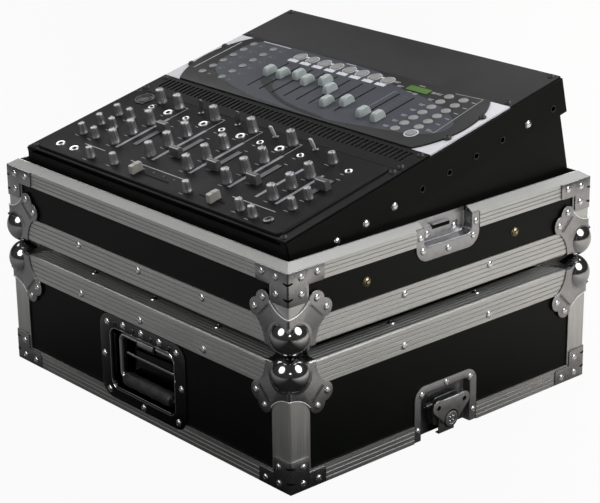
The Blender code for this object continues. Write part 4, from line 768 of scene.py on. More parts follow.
class Finish:
    """A material with one Principled shader, and short ways to add nodes to it."""

    def __init__(self, name):
        self.material = bpy.data.materials.new(name)
        self.material.use_nodes = True
        self.tree = self.material.node_tree
        self.shader = self.tree.nodes["Principled BSDF"]

    def node(self, kind, settings, inputs, output=0):
        """Any node: its settings first, then the values or links of its sockets."""
        made = self.tree.nodes.new(kind)
        for key, value in settings.items():
            setattr(made, key, value)
        for key, value in inputs.items():
            if isinstance(value, Socket):
                self.tree.links.new(value.socket, made.inputs[key])
            else:
                made.inputs[key].default_value = value
        return Socket(self, made.outputs[output])

    def place(self):
        """Object coordinates."""
        return self.node("ShaderNodeTexCoord", {}, {}, "Object")

    def stretched(self, scale, turn=(0, 0, 0)):
        """Object coordinates with their own scale along each axis."""
        return self.node(
            "ShaderNodeMapping", {}, {"Vector": self.place(), "Scale": scale, "Rotation": turn}
        )

    def noise(self, scale, detail=3, vector=None):
        """Cloudy noise about 0.5."""
        inputs = {"Scale": scale, "Detail": detail, "Roughness": 0.6}
        inputs["Vector"] = vector or self.place()
        return self.node("ShaderNodeTexNoise", {}, inputs, 0)

    def axis(self, name, vector=None):
        """One of a vector's three parts."""
        return self.node("ShaderNodeSeparateXYZ", {}, {0: vector or self.place()}, name)

    def blend(self, mask, first, second):
        """Mix of two colours, each a tuple or a link."""
        colours_in = [c if isinstance(c, Socket) else (*c, 1) for c in (first, second)]
        return self.node(
            "ShaderNodeMix",
            {"data_type": "RGBA"},
            {0: mask, 6: colours_in[0], 7: colours_in[1]},
            2,
        )

    def bump(self, height, strength, distance=0.001):
        """A normal that leans with a height."""
        return self.node(
            "ShaderNodeBump", {}, {"Strength": strength, "Distance": distance, "Height": height}
        )

    def set(self, **values):
        """Sockets of the shader by name, with _ for a space; a link or a plain value."""
        for key, value in values.items():
            socket = self.shader.inputs[key.replace("_", " ")]
            if isinstance(value, Socket):
                self.tree.links.new(value.socket, socket)
            elif isinstance(value, (tuple, list)) and len(value) == 3:
                socket.default_value = (*value, 1)
            else:
                socket.default_value = value
        return self


FINISHES = {}


def finish(name):
    """A finish by name, made once."""
    if name not in FINISHES:
        FINISHES[name] = MAKERS[name](Finish(name)).material
    return FINISHES[name]


def scaled(tone, factor):
    """A colour made lighter or darker."""
    return tuple(min(1, c * factor) for c in tone)


def surface(tone_name, mottle, flecks, tones, gloss, relief=(), **others):
    """Maker of a finish with a mottled tone, haze in its gloss and a fine relief.

    mottle is a noise's scale and detail, and flecks its range between the tone's two factors.
    gloss is its range, the least roughness and the span. relief is a second noise, its strength
    and its depth. others are more sockets of the shader.
    """

    def make(look):
        tone = tuple(getattr(colours(), tone_name))
        cloud = look.noise(*mottle)
        low, high, least, span = gloss
        values = {"Roughness": least + span * cloud.clipped(low, high)}
        if relief:
            scale, detail, strength, depth = relief
            values["Normal"] = look.bump(look.noise(scale, detail), strength, depth)
        first, second = (scaled(tone, factor) for factor in tones)
        values["Base_Color"] = look.blend(cloud.clipped(*flecks), first, second)
        return look.set(**values, **others)

    return make


def metal(*recipe):
    """Maker of a plated metal."""
    return surface(*recipe, Metallic=1.0)


def coated(tone_name, shine):
    """Maker of a powder coated sheet: a fine dry texture."""
    gloss, relief = (0.3, 0.7, 0.42, 0.12), (1500, 2, 0.22, 0.0002)
    mottle = ((12, 4), (0.3, 0.75), (1, 1.25))
    return surface(tone_name, *mottle, gloss, relief, Specular_IOR_Level=shine)


def printed(tone_name, roughness=0.42, shine=0.3):
    """Maker of a screen printed ink: a flat colour, faintly uneven."""
    gloss, relief = (0.3, 0.7, roughness, 0.08), (1100, 2, 0.08, 0.0001)
    mottle = ((40, 3), (0.3, 0.75), (0.93, 1.05))
    return surface(tone_name, *mottle, gloss, relief, Specular_IOR_Level=shine)


def moulded(tone_name, roughness=0.30, metallic=0.0, coat=0.0):
    """Maker of a moulded plastic or smoked metal: spark texture, and rubbed shine."""
    gloss, relief = (0.35, 0.7, roughness, 0.10), (1300, 2, 0.10, 0.00015)
    mottle = ((90, 3), (0.3, 0.75), (0.9, 1.1))
    return surface(tone_name, *mottle, gloss, relief, Metallic=metallic, Coat_Weight=coat)


def aluminium(look):
    """Extruded aluminium: drawn streaks along each length and cloudy oxide, with painted shade on slanted
    faces such as the sides of the grooves, and painted light on faces that point up.
    """
    tone = tuple(colours().aluminium)
    normal = look.node("ShaderNodeNewGeometry", {}, {}, "Normal")
    side = look.axis("X", normal).math("ABSOLUTE").clipped(0.4, 0.6)
    along_x = look.noise(1, 3, look.stretched((9, 700, 700)))
    along_y = look.noise(1, 3, look.stretched((700, 9, 700)))
    upright = look.noise(1, 3, look.stretched((700, 700, 9)))
    level = look.axis("Z")
    across = look.axis("X").math("ABSOLUTE").above(CASE_WIDTH / 2 - EDGING_LEG)
    along = look.axis("Y").math("ABSOLUTE").above(CASE_DEPTH / 2 - EDGING_LEG)
    on_lid, on_base = (level.above(low) - level.above(high) for low, high in LEG_LEVELS)
    leg = across * along * (on_lid + on_base)
    streak = along_x * (1 - side) + along_y * side
    streak = streak * (1 - leg) + upright * leg
    cloud = look.noise(14, 4)
    shade = streak.clipped(0.25, 0.75) * 0.75 + cloud.clipped(0.3, 0.7) * 0.25
    # Painted shade: faces that slant between the axes, such as the sides of the grooves, drop to 0.30 of the
    # tone.
    flat = look.axis("X", normal).math("ABSOLUTE").math("MAXIMUM", look.axis("Y", normal).math("ABSOLUTE"))
    flat = flat.math("MAXIMUM", look.axis("Z", normal).math("ABSOLUTE"))
    flat = flat.clipped(0.76, 0.92)
    smooth = look.blend(shade, scaled(tone, 0.78), scaled(tone, 1.14))
    # Painted light: faces that point up take a paler copy of the tone.
    painted_top_light = look.blend(shade, scaled(tone, 1.30), scaled(tone, 1.48))
    smooth = look.blend(look.axis("Z", normal).clipped(0.8, 0.95), smooth, painted_top_light)
    return look.set(
        Base_Color=look.blend(flat, scaled(tone, 0.30), smooth),
        Metallic=1.0,
        Roughness=0.62 - 0.22 * flat + 0.12 * streak.clipped(0.3, 0.7),
        Normal=look.bump(streak, 0.14, 0.0002),
    )


def mirror_chrome(look):
    """Polished chrome of the balls, with hairline scuffs."""
    tone = tuple(colours().chrome)
    scuff = look.noise(1, 4, look.stretched((420, 90, 160), (0.6, 0.3, 0.9)))
    return look.set(
        Base_Color=look.blend(scuff.clipped(0.55, 0.75), scaled(tone, 1.1), scaled(tone, 0.9)),
        Metallic=1.0,
        Roughness=0.11 + 0.12 * scuff.clipped(0.58, 0.8),
    )


def zinc(look):
    """Zinc plate: mottled grey with a satin gloss."""
    tone = tuple(colours().zinc)
    mottle = look.noise(120, 4)
    cloud = look.noise(24, 3)
    return look.set(
        Base_Color=look.blend(mottle.clipped(0.3, 0.7), scaled(tone, 0.86), scaled(tone, 1.08)),
        Metallic=1.0,
        Roughness=0.30 + 0.14 * cloud.clipped(0.3, 0.75),
        Normal=look.bump(mottle, 0.06, 0.0004),
    )


def plywood(look):
    """Black stained board, with its long grain just showing in the gloss."""
    tone = tuple(colours().plywood)
    grain = look.noise(1, 4, look.stretched((160, 12, 160)))
    return look.set(
        Base_Color=look.blend(grain.clipped(0.35, 0.7), tone, scaled(tone, 1.9)),
        Roughness=0.36 + 0.16 * grain.clipped(0.3, 0.7),
        Normal=look.bump(grain, 0.12, 0.0004),
        Specular_IOR_Level=0.07,
    )


def screen(look):
    """Lit green screen, with the pale grid of its segments."""
    tone = tuple(colours().screen)
    line = look.node(
        "ShaderNodeTexWave", {"bands_direction": "X"}, {"Vector": look.place(), "Scale": 90.0}, 1
    )
    return look.set(
        Base_Color=look.blend(line.clipped(0.75, 0.95), tone, scaled(tone, 0.7)),
        Roughness=0.5,
        Specular_IOR_Level=0.1,
        Emission_Color=tone,
        Emission_Strength=0.35,
    )


def slot_black(look):
    """Nearly black: painted shade in slots, gaps, holes and recesses, and the dark surround of the screen.
    """
    dust = look.noise(400, 3)
    return look.set(
        Base_Color=look.blend(dust, (0.002, 0.002, 0.002), (0.006, 0.006, 0.006)),
        Roughness=0.7,
        Specular_IOR_Level=0.05,
    )


def black_screw(look):
    """Blackened steel of screws and sockets."""
    tone = (0.012, 0.012, 0.013)
    mottle = look.noise(300, 3)
    return look.set(
        Base_Color=look.blend(mottle, tone, scaled(tone, 2)),
        Roughness=0.32 + 0.2 * mottle,
        Specular_IOR_Level=0.25,
    )


MAKERS = {
    "laminate": surface(
        "laminate", (9, 4), (0.3, 0.8), (1, 1.8), (0.35, 0.7, 0.30, 0.14), (900, 2, 0.16, 0.0004),
        Specular_IOR_Level=0.08,
    ),
    "aluminium": aluminium,
    "plated_steel": metal(
        "nickel", (38, 4), (0.3, 0.75), (1, 0.8), (0.35, 0.75, 0.24, 0.10), (160, 2, 0.05, 0.0004)
    ),
    "mirror_chrome": mirror_chrome,
    "bright_bar": metal("bright_bar", (180, 4), (0.35, 0.75), (1, 0.8), (0.4, 0.8, 0.12, 0.14)),
    "rivet_steel": metal("rivet", (260, 3), (0.35, 0.7), (1, 0.72), (0.3, 0.7, 0.16, 0.16)),
    "black_chrome": metal(
        "dark_chrome", (70, 4), (0.35, 0.8), (1, 1.7), (0.4, 0.8, 0.05, 0.12), (32, 2, 0.04, 0.001)
    ),
    "zinc_plate": zinc,
    "dark_steel": metal("zinc", (150, 4), (0.3, 0.7), (0.30, 0.45), (0.3, 0.75, 0.30, 0.18)),
    "rubber": surface(
        "rubber", (50, 4), (0.45, 0.8), (1, 2.4), (0.3, 0.7, 0.42, 0.2), (700, 2, 0.2, 0.0003)
    ),
    "panel_black": coated("panel", 0.16),
    "rail_black": coated("plywood", 0.07),
    "mixer_black": coated("mixer", 0.07),
    "black_plywood": plywood,
    "pale_print": printed("print_pale"),
    "grey_print": printed("print_grey"),
    "fine_print": printed("print_line", 0.45, 0.15),
    "dim_print": printed("print_dim", 0.45, 0.15),
    "desk_dark": printed("desk_dark", 0.40, 0.14),
    "desk_lens": printed("desk_lens", 0.40, 0.14),
    "cap_green": moulded("cap_green", 0.32),
    "key_grey": moulded("key_grey", 0.42),
    "key_dim": moulded("key_dim", 0.42),
    "screen": screen,
    # Pale lips: a painted highlight along the rolled edges.
    "lip_bright": moulded("lip", 0.28, 0.5),
    "button_rim": moulded("rivet", 0.30, 1.0),
    "bat_pale": moulded("bat", 0.35, 0.2),
    "knob_metal": moulded("knob", 0.36, 0.85, 0.2),
    "fader_grey": moulded("fader", 0.28, 0.6),
    "fader_pale": moulded("fader_pale", 0.34),
    "slot_black": slot_black,
    "brass": metal("brass", (300, 3), (0.3, 0.7), (1, 0.7), (0.3, 0.7, 0.22, 0.2)),
    "black_screw": black_screw,
}

CAD_FINISHES = {
    "laminate": ("lid_shell", "base_tray"),
    "aluminium": (
        "lid_edging", "lid_rim_front", "lid_rim_back", "base_edging", "base_rim_front", "base_rim_back"
    ),
    "black_plywood": ("rack_housing",),
    "rail_black": ("rack_rail_left", "rack_rail_right"),
    "panel_black": ("blank_panel",),
    "mixer_black": ("vent_panel",),
}


class CASE_OT_solids(bpy.types.Operator):
    """Gives the solids that stay their finishes"""

    bl_idname = "case.solids"
    bl_label = "Finish the solids"

    def execute(self, context):
        for look, names in CAD_FINISHES.items():
            for name in names:
                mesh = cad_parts[name].data
                mesh.materials.clear()
                mesh.materials.append(finish(look))
        return {"FINISHED"}


# Rivets of the edging


def edging_heads(edge, direction):
    """Heads along the four walls, and then the ones through the flat top or bottom leg."""
    upright = []
    flat = []
    level = edge + direction * EDGING_INSET
    for wall, places in WALLS:
        for across in places:
            upright.append(placed(rivet(*EDGING_RIVET), wall @ shift(across, level, 0)))
            over = wall @ shift(across, edge, -EDGING_INSET) @ turning("x", 90 * direction)
            flat.append(placed(rivet(*EDGING_RIVET), over))
    return upright + flat


class CASE_OT_edging_rivets(bpy.types.Operator):
    """Adds the rivets through the edging of the lid and of the base"""

    bl_idname = "case.edging_rivets"
    bl_label = "Edging rivets"

    def execute(self, context):
        for name, body, edge, direction in (
            ("lid_edging_rivets", "lid", LID_HEIGHT, -1),
            ("base_edging_rivets", "base", BASE_FLOOR, 1),
        ):
            add_piece(name, edging_heads(edge, direction), "rivet_steel", body, "chrome")
        return {"FINISHED"}


# Ball corners

CORNER_FACES = (
    np.diag([-1.0, -1.0, 1.0, 1.0]),
    frame_of((-1, 0, 0), (0, 0, -1), (0, 1, 0)),
    frame_of((0, -1, 0), (0, 0, -1), (1, 0, 0)),
)


def corner_at(turn):
    """Where the corner lies that is this far round from the one at +x, +y."""
    a = math.radians(turn + 45)
    return (
        math.copysign(CASE_WIDTH / 2, math.cos(a)),
        math.copysign(CASE_DEPTH / 2, math.sin(a)),
    )


def corner_word(x, y):
    """A corner's name, from where it lies."""
    return f"{'front' if y < 0 else 'back'}_{'left' if x < 0 else 'right'}"


def petal_outline():
    """One flange: out along the edge, in round a hollow side, round a lobe, and back mirrored."""
    wrap = FLANGE_FOLD - GAP - PRESSING
    radius, end = PETAL_SIDE
    side = arc(PETAL_EDGE + radius, 0, radius, 180, end, 9)
    side = side[side[:, 1] > wrap]
    x, y, lobe_radius = PETAL_LOBE
    lobe = arc(x, y, lobe_radius, *PETAL_LOBE_TURN, 14)
    near = np.concatenate([[(PETAL_EDGE, wrap)], side, lobe])
    far = near[::-1, ::-1]
    start = [(wrap, PETAL_START), (PETAL_START, wrap)]
    return np.concatenate([start, near, [(PETAL_NOTCH, PETAL_NOTCH)], far])


def petal_lips():
    """Rolled edge: a round bead along the hollow side of a flange that faces the upright edge; its pale
    finish is a painted highlight.
    """
    radius, end = PETAL_SIDE
    side = arc(PETAL_EDGE + radius, 0, radius, 181, end, 16)
    lift = np.full((len(side), 1), GAP + PRESSING - PETAL_LIP * 0.45)
    return tube(np.hstack([side[:, ::-1], lift]), PETAL_LIP, 8)


def ball_collar(radius):
    """Fillet where the ball leaves a flange: a hollow section carried round part of a circle."""
    height = GAP + PRESSING
    reach = BALL_INSET + height
    foot = math.sqrt(radius**2 - reach**2)
    lift = math.sqrt(radius**2 - (reach + COLLAR) ** 2)
    bend = np.linspace(0, math.pi / 2, 5)
    r = foot + COLLAR - (foot + COLLAR - lift) * np.sin(bend)
    h = height + COLLAR * (1 - np.cos(bend))
    inward, down = COLLAR_SINK
    r = np.concatenate([r, [lift - inward, foot - inward]])
    h = np.concatenate([h, [height + COLLAR, height - down]])
    turn = np.radians(np.linspace(-50, 140, 29))
    x = BALL_INSET + r[None] * np.cos(turn)[:, None]
    y = BALL_INSET + r[None] * np.sin(turn)[:, None]
    z = np.broadcast_to(h[None], x.shape)
    return skin(np.stack([x, y, z], axis=-1))


def on_emboss(face):
    """Matrix to the middle of the sunk frame on a flange, turned along it."""
    return face @ shift(EMBOSS_PLACE, EMBOSS_PLACE) @ turning("z", -45)


def corner_marks():
    """A plain dark bar on each upright flange, where makers press their sunk mark: painted shade of the
    pressed mark, lying flat on the flange.
    """
    half, tall, corner = MARK_BAR
    top = GAP + PRESSING
    bar = plate(round_box(half, -tall, tall, corner, 3), top - FILM, top + FILM)
    return [placed(bar, on_emboss(face)) for face in CORNER_FACES[1:]]


def flange_folds():
    """Round bars along the three edges of a corner, where one flange bends into the next."""
    centre = GAP + PRESSING - FLANGE_FOLD
    near, far = -PETAL_START, -PETAL_EDGE
    shapes = []
    for axis in range(3):
        ends = np.full((2, 3), centre)
        ends[:, axis] = near, far
        shapes.append(tube(ends, FLANGE_FOLD, 40))
    return shapes


def ball_corner_shapes():
    """Ball and flanges, drawn with the case's corner at the origin and the case below and behind."""
    radius = sizes().ball_radius
    top = GAP + PRESSING
    ball = ellipsoid((radius,) * 3, (-BALL_INSET,) * 3, 28, 44)
    metal = flange_folds()
    heads = []
    half, tall, corner = EMBOSS_FRAME
    frame_line = round_box(half, -tall, tall, corner, 3)
    emboss = ring(frame_line, EMBOSS_LINE, top - 0.0003, top + 0.0004)
    for face in CORNER_FACES:
        metal.append(placed(plate(petal_outline(), GAP, top, sizes().edge_round), face))
        metal.append(placed(ball_collar(radius), face))
        metal.append(placed(emboss, on_emboss(face)))
        heads += rivets_on((BALL_RIVET, BALL_RIVET[::-1]), top, face)
    return ball, metal, heads


class CASE_OT_ball_corners(bpy.types.Operator):
    """Builds the eight ball corners"""

    bl_idname = "case.ball_corners"
    bl_label = "Ball corners"

    def execute(self, context):
        ball, metal, heads = ball_corner_shapes()
        for turn in QUARTER_TURNS:
            x, y = corner_at(turn)
            upright = shift(x, y, LID_HEIGHT) @ turning("z", turn)
            self.build("lid", corner_word(x, y), upright, ball, metal, heads)
            x, y = corner_at(turn - 90)
            flipped = shift(x, y, BASE_FLOOR) @ turning("z", turn) @ turning("x", 180)
            self.build("base", corner_word(x, y), flipped, ball, metal, heads)
        return {"FINISHED"}

    def build(self, body, where, matrix, ball, metal, heads):
        """One corner of the lid or the base."""
        node = f"{body}_ball_corner_{where}"
        # The lips take a pale finish: a painted highlight along the rolled edges.
        lips = [placed(petal_lips(), matrix @ face) for face in CORNER_FACES[1:]]
        for part, shapes, look, stands_for in (
            ("lips", lips, "lip_bright", ()),
            ("marks", carried(corner_marks(), matrix), "dark_steel", ()),
            ("flanges", carried(metal, matrix), "plated_steel", (node,)),
            ("ball", [placed(ball, matrix)], "mirror_chrome", ()),
            ("rivets", carried(heads, matrix), "rivet_steel", ()),
        ):
            add_piece(f"{node}_{part}", shapes, look, body, "chrome", stands_for)


# Braces


def round_the_corner(t, out):
    """Points some way t along a wall, bent round the upright edge with a small radius."""
    t = np.asarray(t, float)
    outer = GAP + PRESSING
    bend = BRACE_FOLD
    half = bend * math.pi / 4
    angle = np.clip(t / bend, -math.pi / 4, math.pi / 4) + math.pi / 4
    rest = np.sign(t) * np.maximum(np.abs(t) - half, 0)
    centre = outer - bend
    reach = bend - outer + out
    x = centre + reach * np.cos(angle)
    y = centre + reach * np.sin(angle)
    x = np.where(t > half, x - rest, x)
    y = np.where(t < -half, y + rest, y)
    return x, y


def dimple(level):
    """A groove pressed across the fold: a flat bar bent round the edge, dipping in its middle."""
    t = np.linspace(-DIMPLE_REACH, DIMPLE_REACH, 25)
    sag = DIMPLE_SAG * np.cos(t / DIMPLE_REACH * math.pi / 2) ** 2
    half = DIMPLE_HALF * np.sqrt(1 - 0.92 * (t / DIMPLE_REACH) ** 2)
    low, high = 0.0002, GAP + PRESSING + 0.0002
    rows = []
    for lift, side in ((low, -1), (high, -1), (high, 1), (low, 1)):
        x, y = round_the_corner(t, np.full(len(t), lift))
        rows.append(np.stack([x, y, -level - sag + side * half], axis=-1))
    return skin(np.array(rows).transpose(1, 0, 2))


def brace_shapes():
    """A plate bent round the corner: its section, from its top edge to its foot, carried along."""
    bend = np.linspace(-BRACE_BEND, BRACE_BEND, 9)
    arms = [-BRACE_ARM, -BRACE_ARM + BRACE_CORNER]
    arms += [-BRACE_LEG - BRACE_STEP, -BRACE_LEG, -BRACE_LEG + BRACE_CORNER]
    drops = [BRACE_ARM_HEIGHT - BRACE_CORNER, BRACE_ARM_HEIGHT, BRACE_ARM_HEIGHT]
    drops += [BRACE_HEIGHT - BRACE_CORNER, BRACE_HEIGHT]
    t = np.concatenate([arms, bend, -np.array(arms[::-1])])
    drop = np.concatenate([drops, np.full(len(bend), BRACE_HEIGHT), drops[::-1]])
    edge = sizes().edge_round
    outer = GAP + PRESSING
    section = ((0, GAP), (0, outer - edge), (edge * 0.3, outer - edge * 0.3), (edge, outer))
    levels = [(depth, np.full(len(t), -inward)) for inward, depth in section]
    levels += [(depth, inward - drop) for inward, depth in section[::-1]]
    rows = []
    for depth, level in levels:
        x, y = round_the_corner(t, depth)
        rows.append(np.stack([x, y, level], axis=-1))
    grid = np.array(rows).transpose(1, 0, 2)
    grooves = [dimple(level) for level in DIMPLES]
    heads = []
    for face in CORNER_FACES[1:]:
        heads += rivets_on(BRACE_RIVETS, outer, face)
    return skin(grid), grooves, heads


class CASE_OT_braces(bpy.types.Operator):
    """Builds the eight corner braces"""

    bl_idname = "case.braces"
    bl_label = "Corner braces"

    def execute(self, context):
        shapes = brace_shapes()
        for turn in QUARTER_TURNS:
            x, y = corner_at(turn)
            self.build("base", corner_word(x, y), shift(x, y, BASE_RIM) @ turning("z", turn), *shapes)
            x, y = corner_at(turn - 90)
            flipped = shift(x, y, LID_BRACE_FOOT) @ turning("z", turn) @ turning("x", 180)
            self.build("lid", corner_word(x, y), flipped, *shapes)
        return {"FINISHED"}

    def build(self, body, where, matrix, metal, grooves, heads):
        """One brace of the lid or the base."""
        node = f"{body}_brace_{where}"
        # The grooves are nearly black: painted shade in the pressed dimples.
        for part, shapes, look, stands_for in (
            ("plate", [metal], "plated_steel", (node,)),
            ("grooves", grooves, "slot_black", ()),
            ("rivets", heads, "rivet_steel", ()),
        ):
            add_piece(f"{node}_{part}", carried(shapes, matrix), look, body, "chrome", stands_for)


# Pressed dishes


def dish_levels(flange, recess, floor, bead, tuck, moved):
    """Rows of a pressed dish, from the back of its pan over its rim and down to its floor.

    A row is the flange's or the recess's outline, moved inwards some way, at a level. The rim
    and the foot of the recess are quarter rounds: way = bead (1 - sin a), level = bead (1 - cos a).
    """
    edge = sizes().edge_round
    front, back = FLANGE_FRONT, FLANGE_BACK
    rows = [
        (recess, tuck - PRESSING, floor - PRESSING),
        (recess, -PRESSING, floor + 0.5 * bead),
        (recess, -PRESSING, back),
        (flange, 0, back),
        (flange, 0, front - edge),
        (flange, 0.3 * edge, front - 0.3 * edge),
        (flange, edge, front),
        (recess, -DISH_RIM - bead, front),
    ]
    for angle in (20, 45, 70, 90):
        a = math.radians(angle)
        rows.append((recess, -bead * (1 - math.sin(a)), front - bead * (1 - math.cos(a))))
    for angle in (0, 30, 60, 90):
        a = math.radians(angle)
        rows.append((recess, bead * (1 - math.cos(a)), floor + bead * (1 - math.sin(a))))
    return np.array([at_height(moved(outline, way), level) for outline, way, level in rows])


def closed_dish(flange, recess, floor, bead):
    """A dish with a flange all round it."""
    return skin(dish_levels(flange, recess, floor, bead, bead * 1.2, inset))


def open_path(end, half, far, radius, steps=8):
    """A path up one side, round two corners and down the other, from height end to far."""
    sign = 1 if far > end else -1
    turn_y = far - sign * radius
    right = arc(half - radius, turn_y, radius, 0, 90 * sign, steps)
    left = arc(radius - half, turn_y, radius, 90 * sign, 180 * sign, steps)
    return np.concatenate([[(half, end)], right, left, [(-half, end)]])


def along_open(path, distance):
    """An open path moved inwards along its normals, its two ends kept level."""
    ahead = np.gradient(path, axis=0)
    ahead /= np.linalg.norm(ahead, axis=1)[:, None]
    normal = np.stack([-ahead[:, 1], ahead[:, 0]], axis=1)
    sign = np.sign(((path.mean(axis=0) - path[0]) * normal[0]).sum())
    moved = path + sign * distance * normal
    moved[0, 1] = moved[-1, 1] = path[0, 1]
    return moved


def open_dish(flange, recess, floor, bead):
    """A dish open along one edge: the same rows on paths instead of loops, its open edge capped."""
    grid = dish_levels(flange, recess, floor, bead, bead, along_open)
    points, faces = skin(grid, False)
    rows, columns = grid.shape[:2]
    first = [row * columns for row in range(rows)]
    last = [row * columns + columns - 1 for row in range(rows)]
    faces.append(first + last[::-1])
    return points, faces


def rivets_on(places, level, wall, drop=0.0, size=None):
    """Rivets at places on a wall, their heads on a level outside it."""
    size = size or (sizes().rivet_radius, sizes().rivet_height)
    return [placed(rivet(*size), wall @ shift(x, y + drop, level)) for x, y in places]


class CASE_OT_keepers(bpy.types.Operator):
    """Builds the two keeper dishes on the base"""

    bl_idname = "case.keepers"
    bl_label = "Keepers"

    def execute(self, context):
        flange = open_path(KEEPER_TOP, *KEEPER_FLANGE)
        recess = open_path(KEEPER_TOP, *KEEPER_RECESS)
        dish = open_dish(flange, recess, KEEPER_WALL, KEEPER_BEAD)
        back_outline = rectangle(-KEEPER_BACK_HALF, KEEPER_BACK_HALF, KEEPER_TOP - 0.003, KEEPER_BACK_TOP)
        back = plate(back_outline, KEEPER_WALL - PRESSING, KEEPER_WALL - 0.0001)
        half, reach, thick = KEEPER_LIP
        lip = plate(rectangle(-half, half, 0.0, reach), -thick, thick, 0.0004)
        strap = plate(round_box(*KEEPER_STRIP), 0, KEEPER_STRIP_WALL, 0.0003)
        slot = plate(rectangle(*KEEPER_SLOT), KEEPER_WALL, KEEPER_WALL + 0.0002)
        for hand, wall in SIDES:
            node = f"keeper_dish_{hand}"
            at_lip = wall @ shift(0, KEEPER_LIP_LEVEL, KEEPER_WALL) @ turning("x", 90)
            at_strap = wall @ shift(0, KEEPER_STRIP_LEVEL, KEEPER_WALL)
            metal = [placed(dish, wall), placed(back, wall), placed(lip, at_lip), placed(strap, at_strap)]
            add_piece(f"{node}_pressing", metal, "zinc_plate", "base", "zinc_steel", (node,))
            # The nearly black slot under the keeper's lip is painted shade.
            dark = placed(slot, wall @ shift(0, BASE_RIM, KEEPER_STRIP_WALL + 0.00005))
            add_piece(f"{node}_slot", [dark], "slot_black", "base", "zinc_steel")
            heads = rivets_on(KEEPER_RIVETS, FLANGE_FRONT, wall, BASE_RIM)
            heads += rivets_on(KEEPER_STUDS, KEEPER_WALL + 0.0008, wall, BASE_RIM)
            add_piece(f"{node}_rivets", heads, "rivet_steel", "base", "zinc_steel")
        return {"FINISHED"}


def wing_outline():
    """Two ears over a saddle round the hub, drawn round the hub's centre."""
    ear_x, ear_y, ear_radius = EAR
    foot = WING_FOOT - HUB_HEIGHT
    low_waist, high_waist = WING_WAIST
    ear = arc(ear_x, ear_y - HUB_HEIGHT, ear_radius, -40, 105, 14)
    right = np.concatenate([[(WING_NOTCH, foot), (low_waist, foot), (high_waist, 0)], ear, [WING_DIP]])
    left = right[::-1] * (-1, 1)
    saddle = arc(0, 0, WING_NOTCH, 180, 0, 16)
    return np.concatenate([right, left, saddle[1:-1]])


def hub_profile():
    """A drum with a round edge and a hollow top, on a shaft that goes back through the dish."""
    shaft, behind = HUB_SHAFT
    rim, floor, sunk = HUB_HOLLOW
    back = CLAW_PROUD + GAP
    edge = 0.0008
    top = HUB_PROUD
    return [
        (shaft, CLAW_PROUD - CLAW_WALL - GAP - behind),
        (shaft, back),
        (HUB_RADIUS, back),
        (HUB_RADIUS, top - edge),
        (HUB_RADIUS - 0.25 * edge, top - 0.35 * edge),
        (HUB_RADIUS - edge, top),
        (rim, top),
        (floor, top - sunk),
        (0.0, top - sunk),
    ]


def claw_outline():
    """A plate with a narrower tip; its straight slot lies behind the hub."""
    high = HUB_HEIGHT + CLAW_SHOULDER
    tip_half, rise = CLAW_TIP
    return np.array(
        [
            (-CLAW_HALF, CLAW_FOOT),
            (CLAW_HALF, CLAW_FOOT),
            (CLAW_HALF, high),
            (tip_half, high + rise),
            (-tip_half, high + rise),
            (-CLAW_HALF, high),
        ]
    )


def coil(radius, wire, turns, length):
    """Wire wound round the x axis: a helix as a tube."""
    t = np.linspace(0, 1, turns * 12 + 1)
    a = t * turns * 2 * math.pi
    path = np.column_stack([(t - 0.5) * length, radius * np.cos(a), radius * np.sin(a)])
    return tube(path, wire, 8)


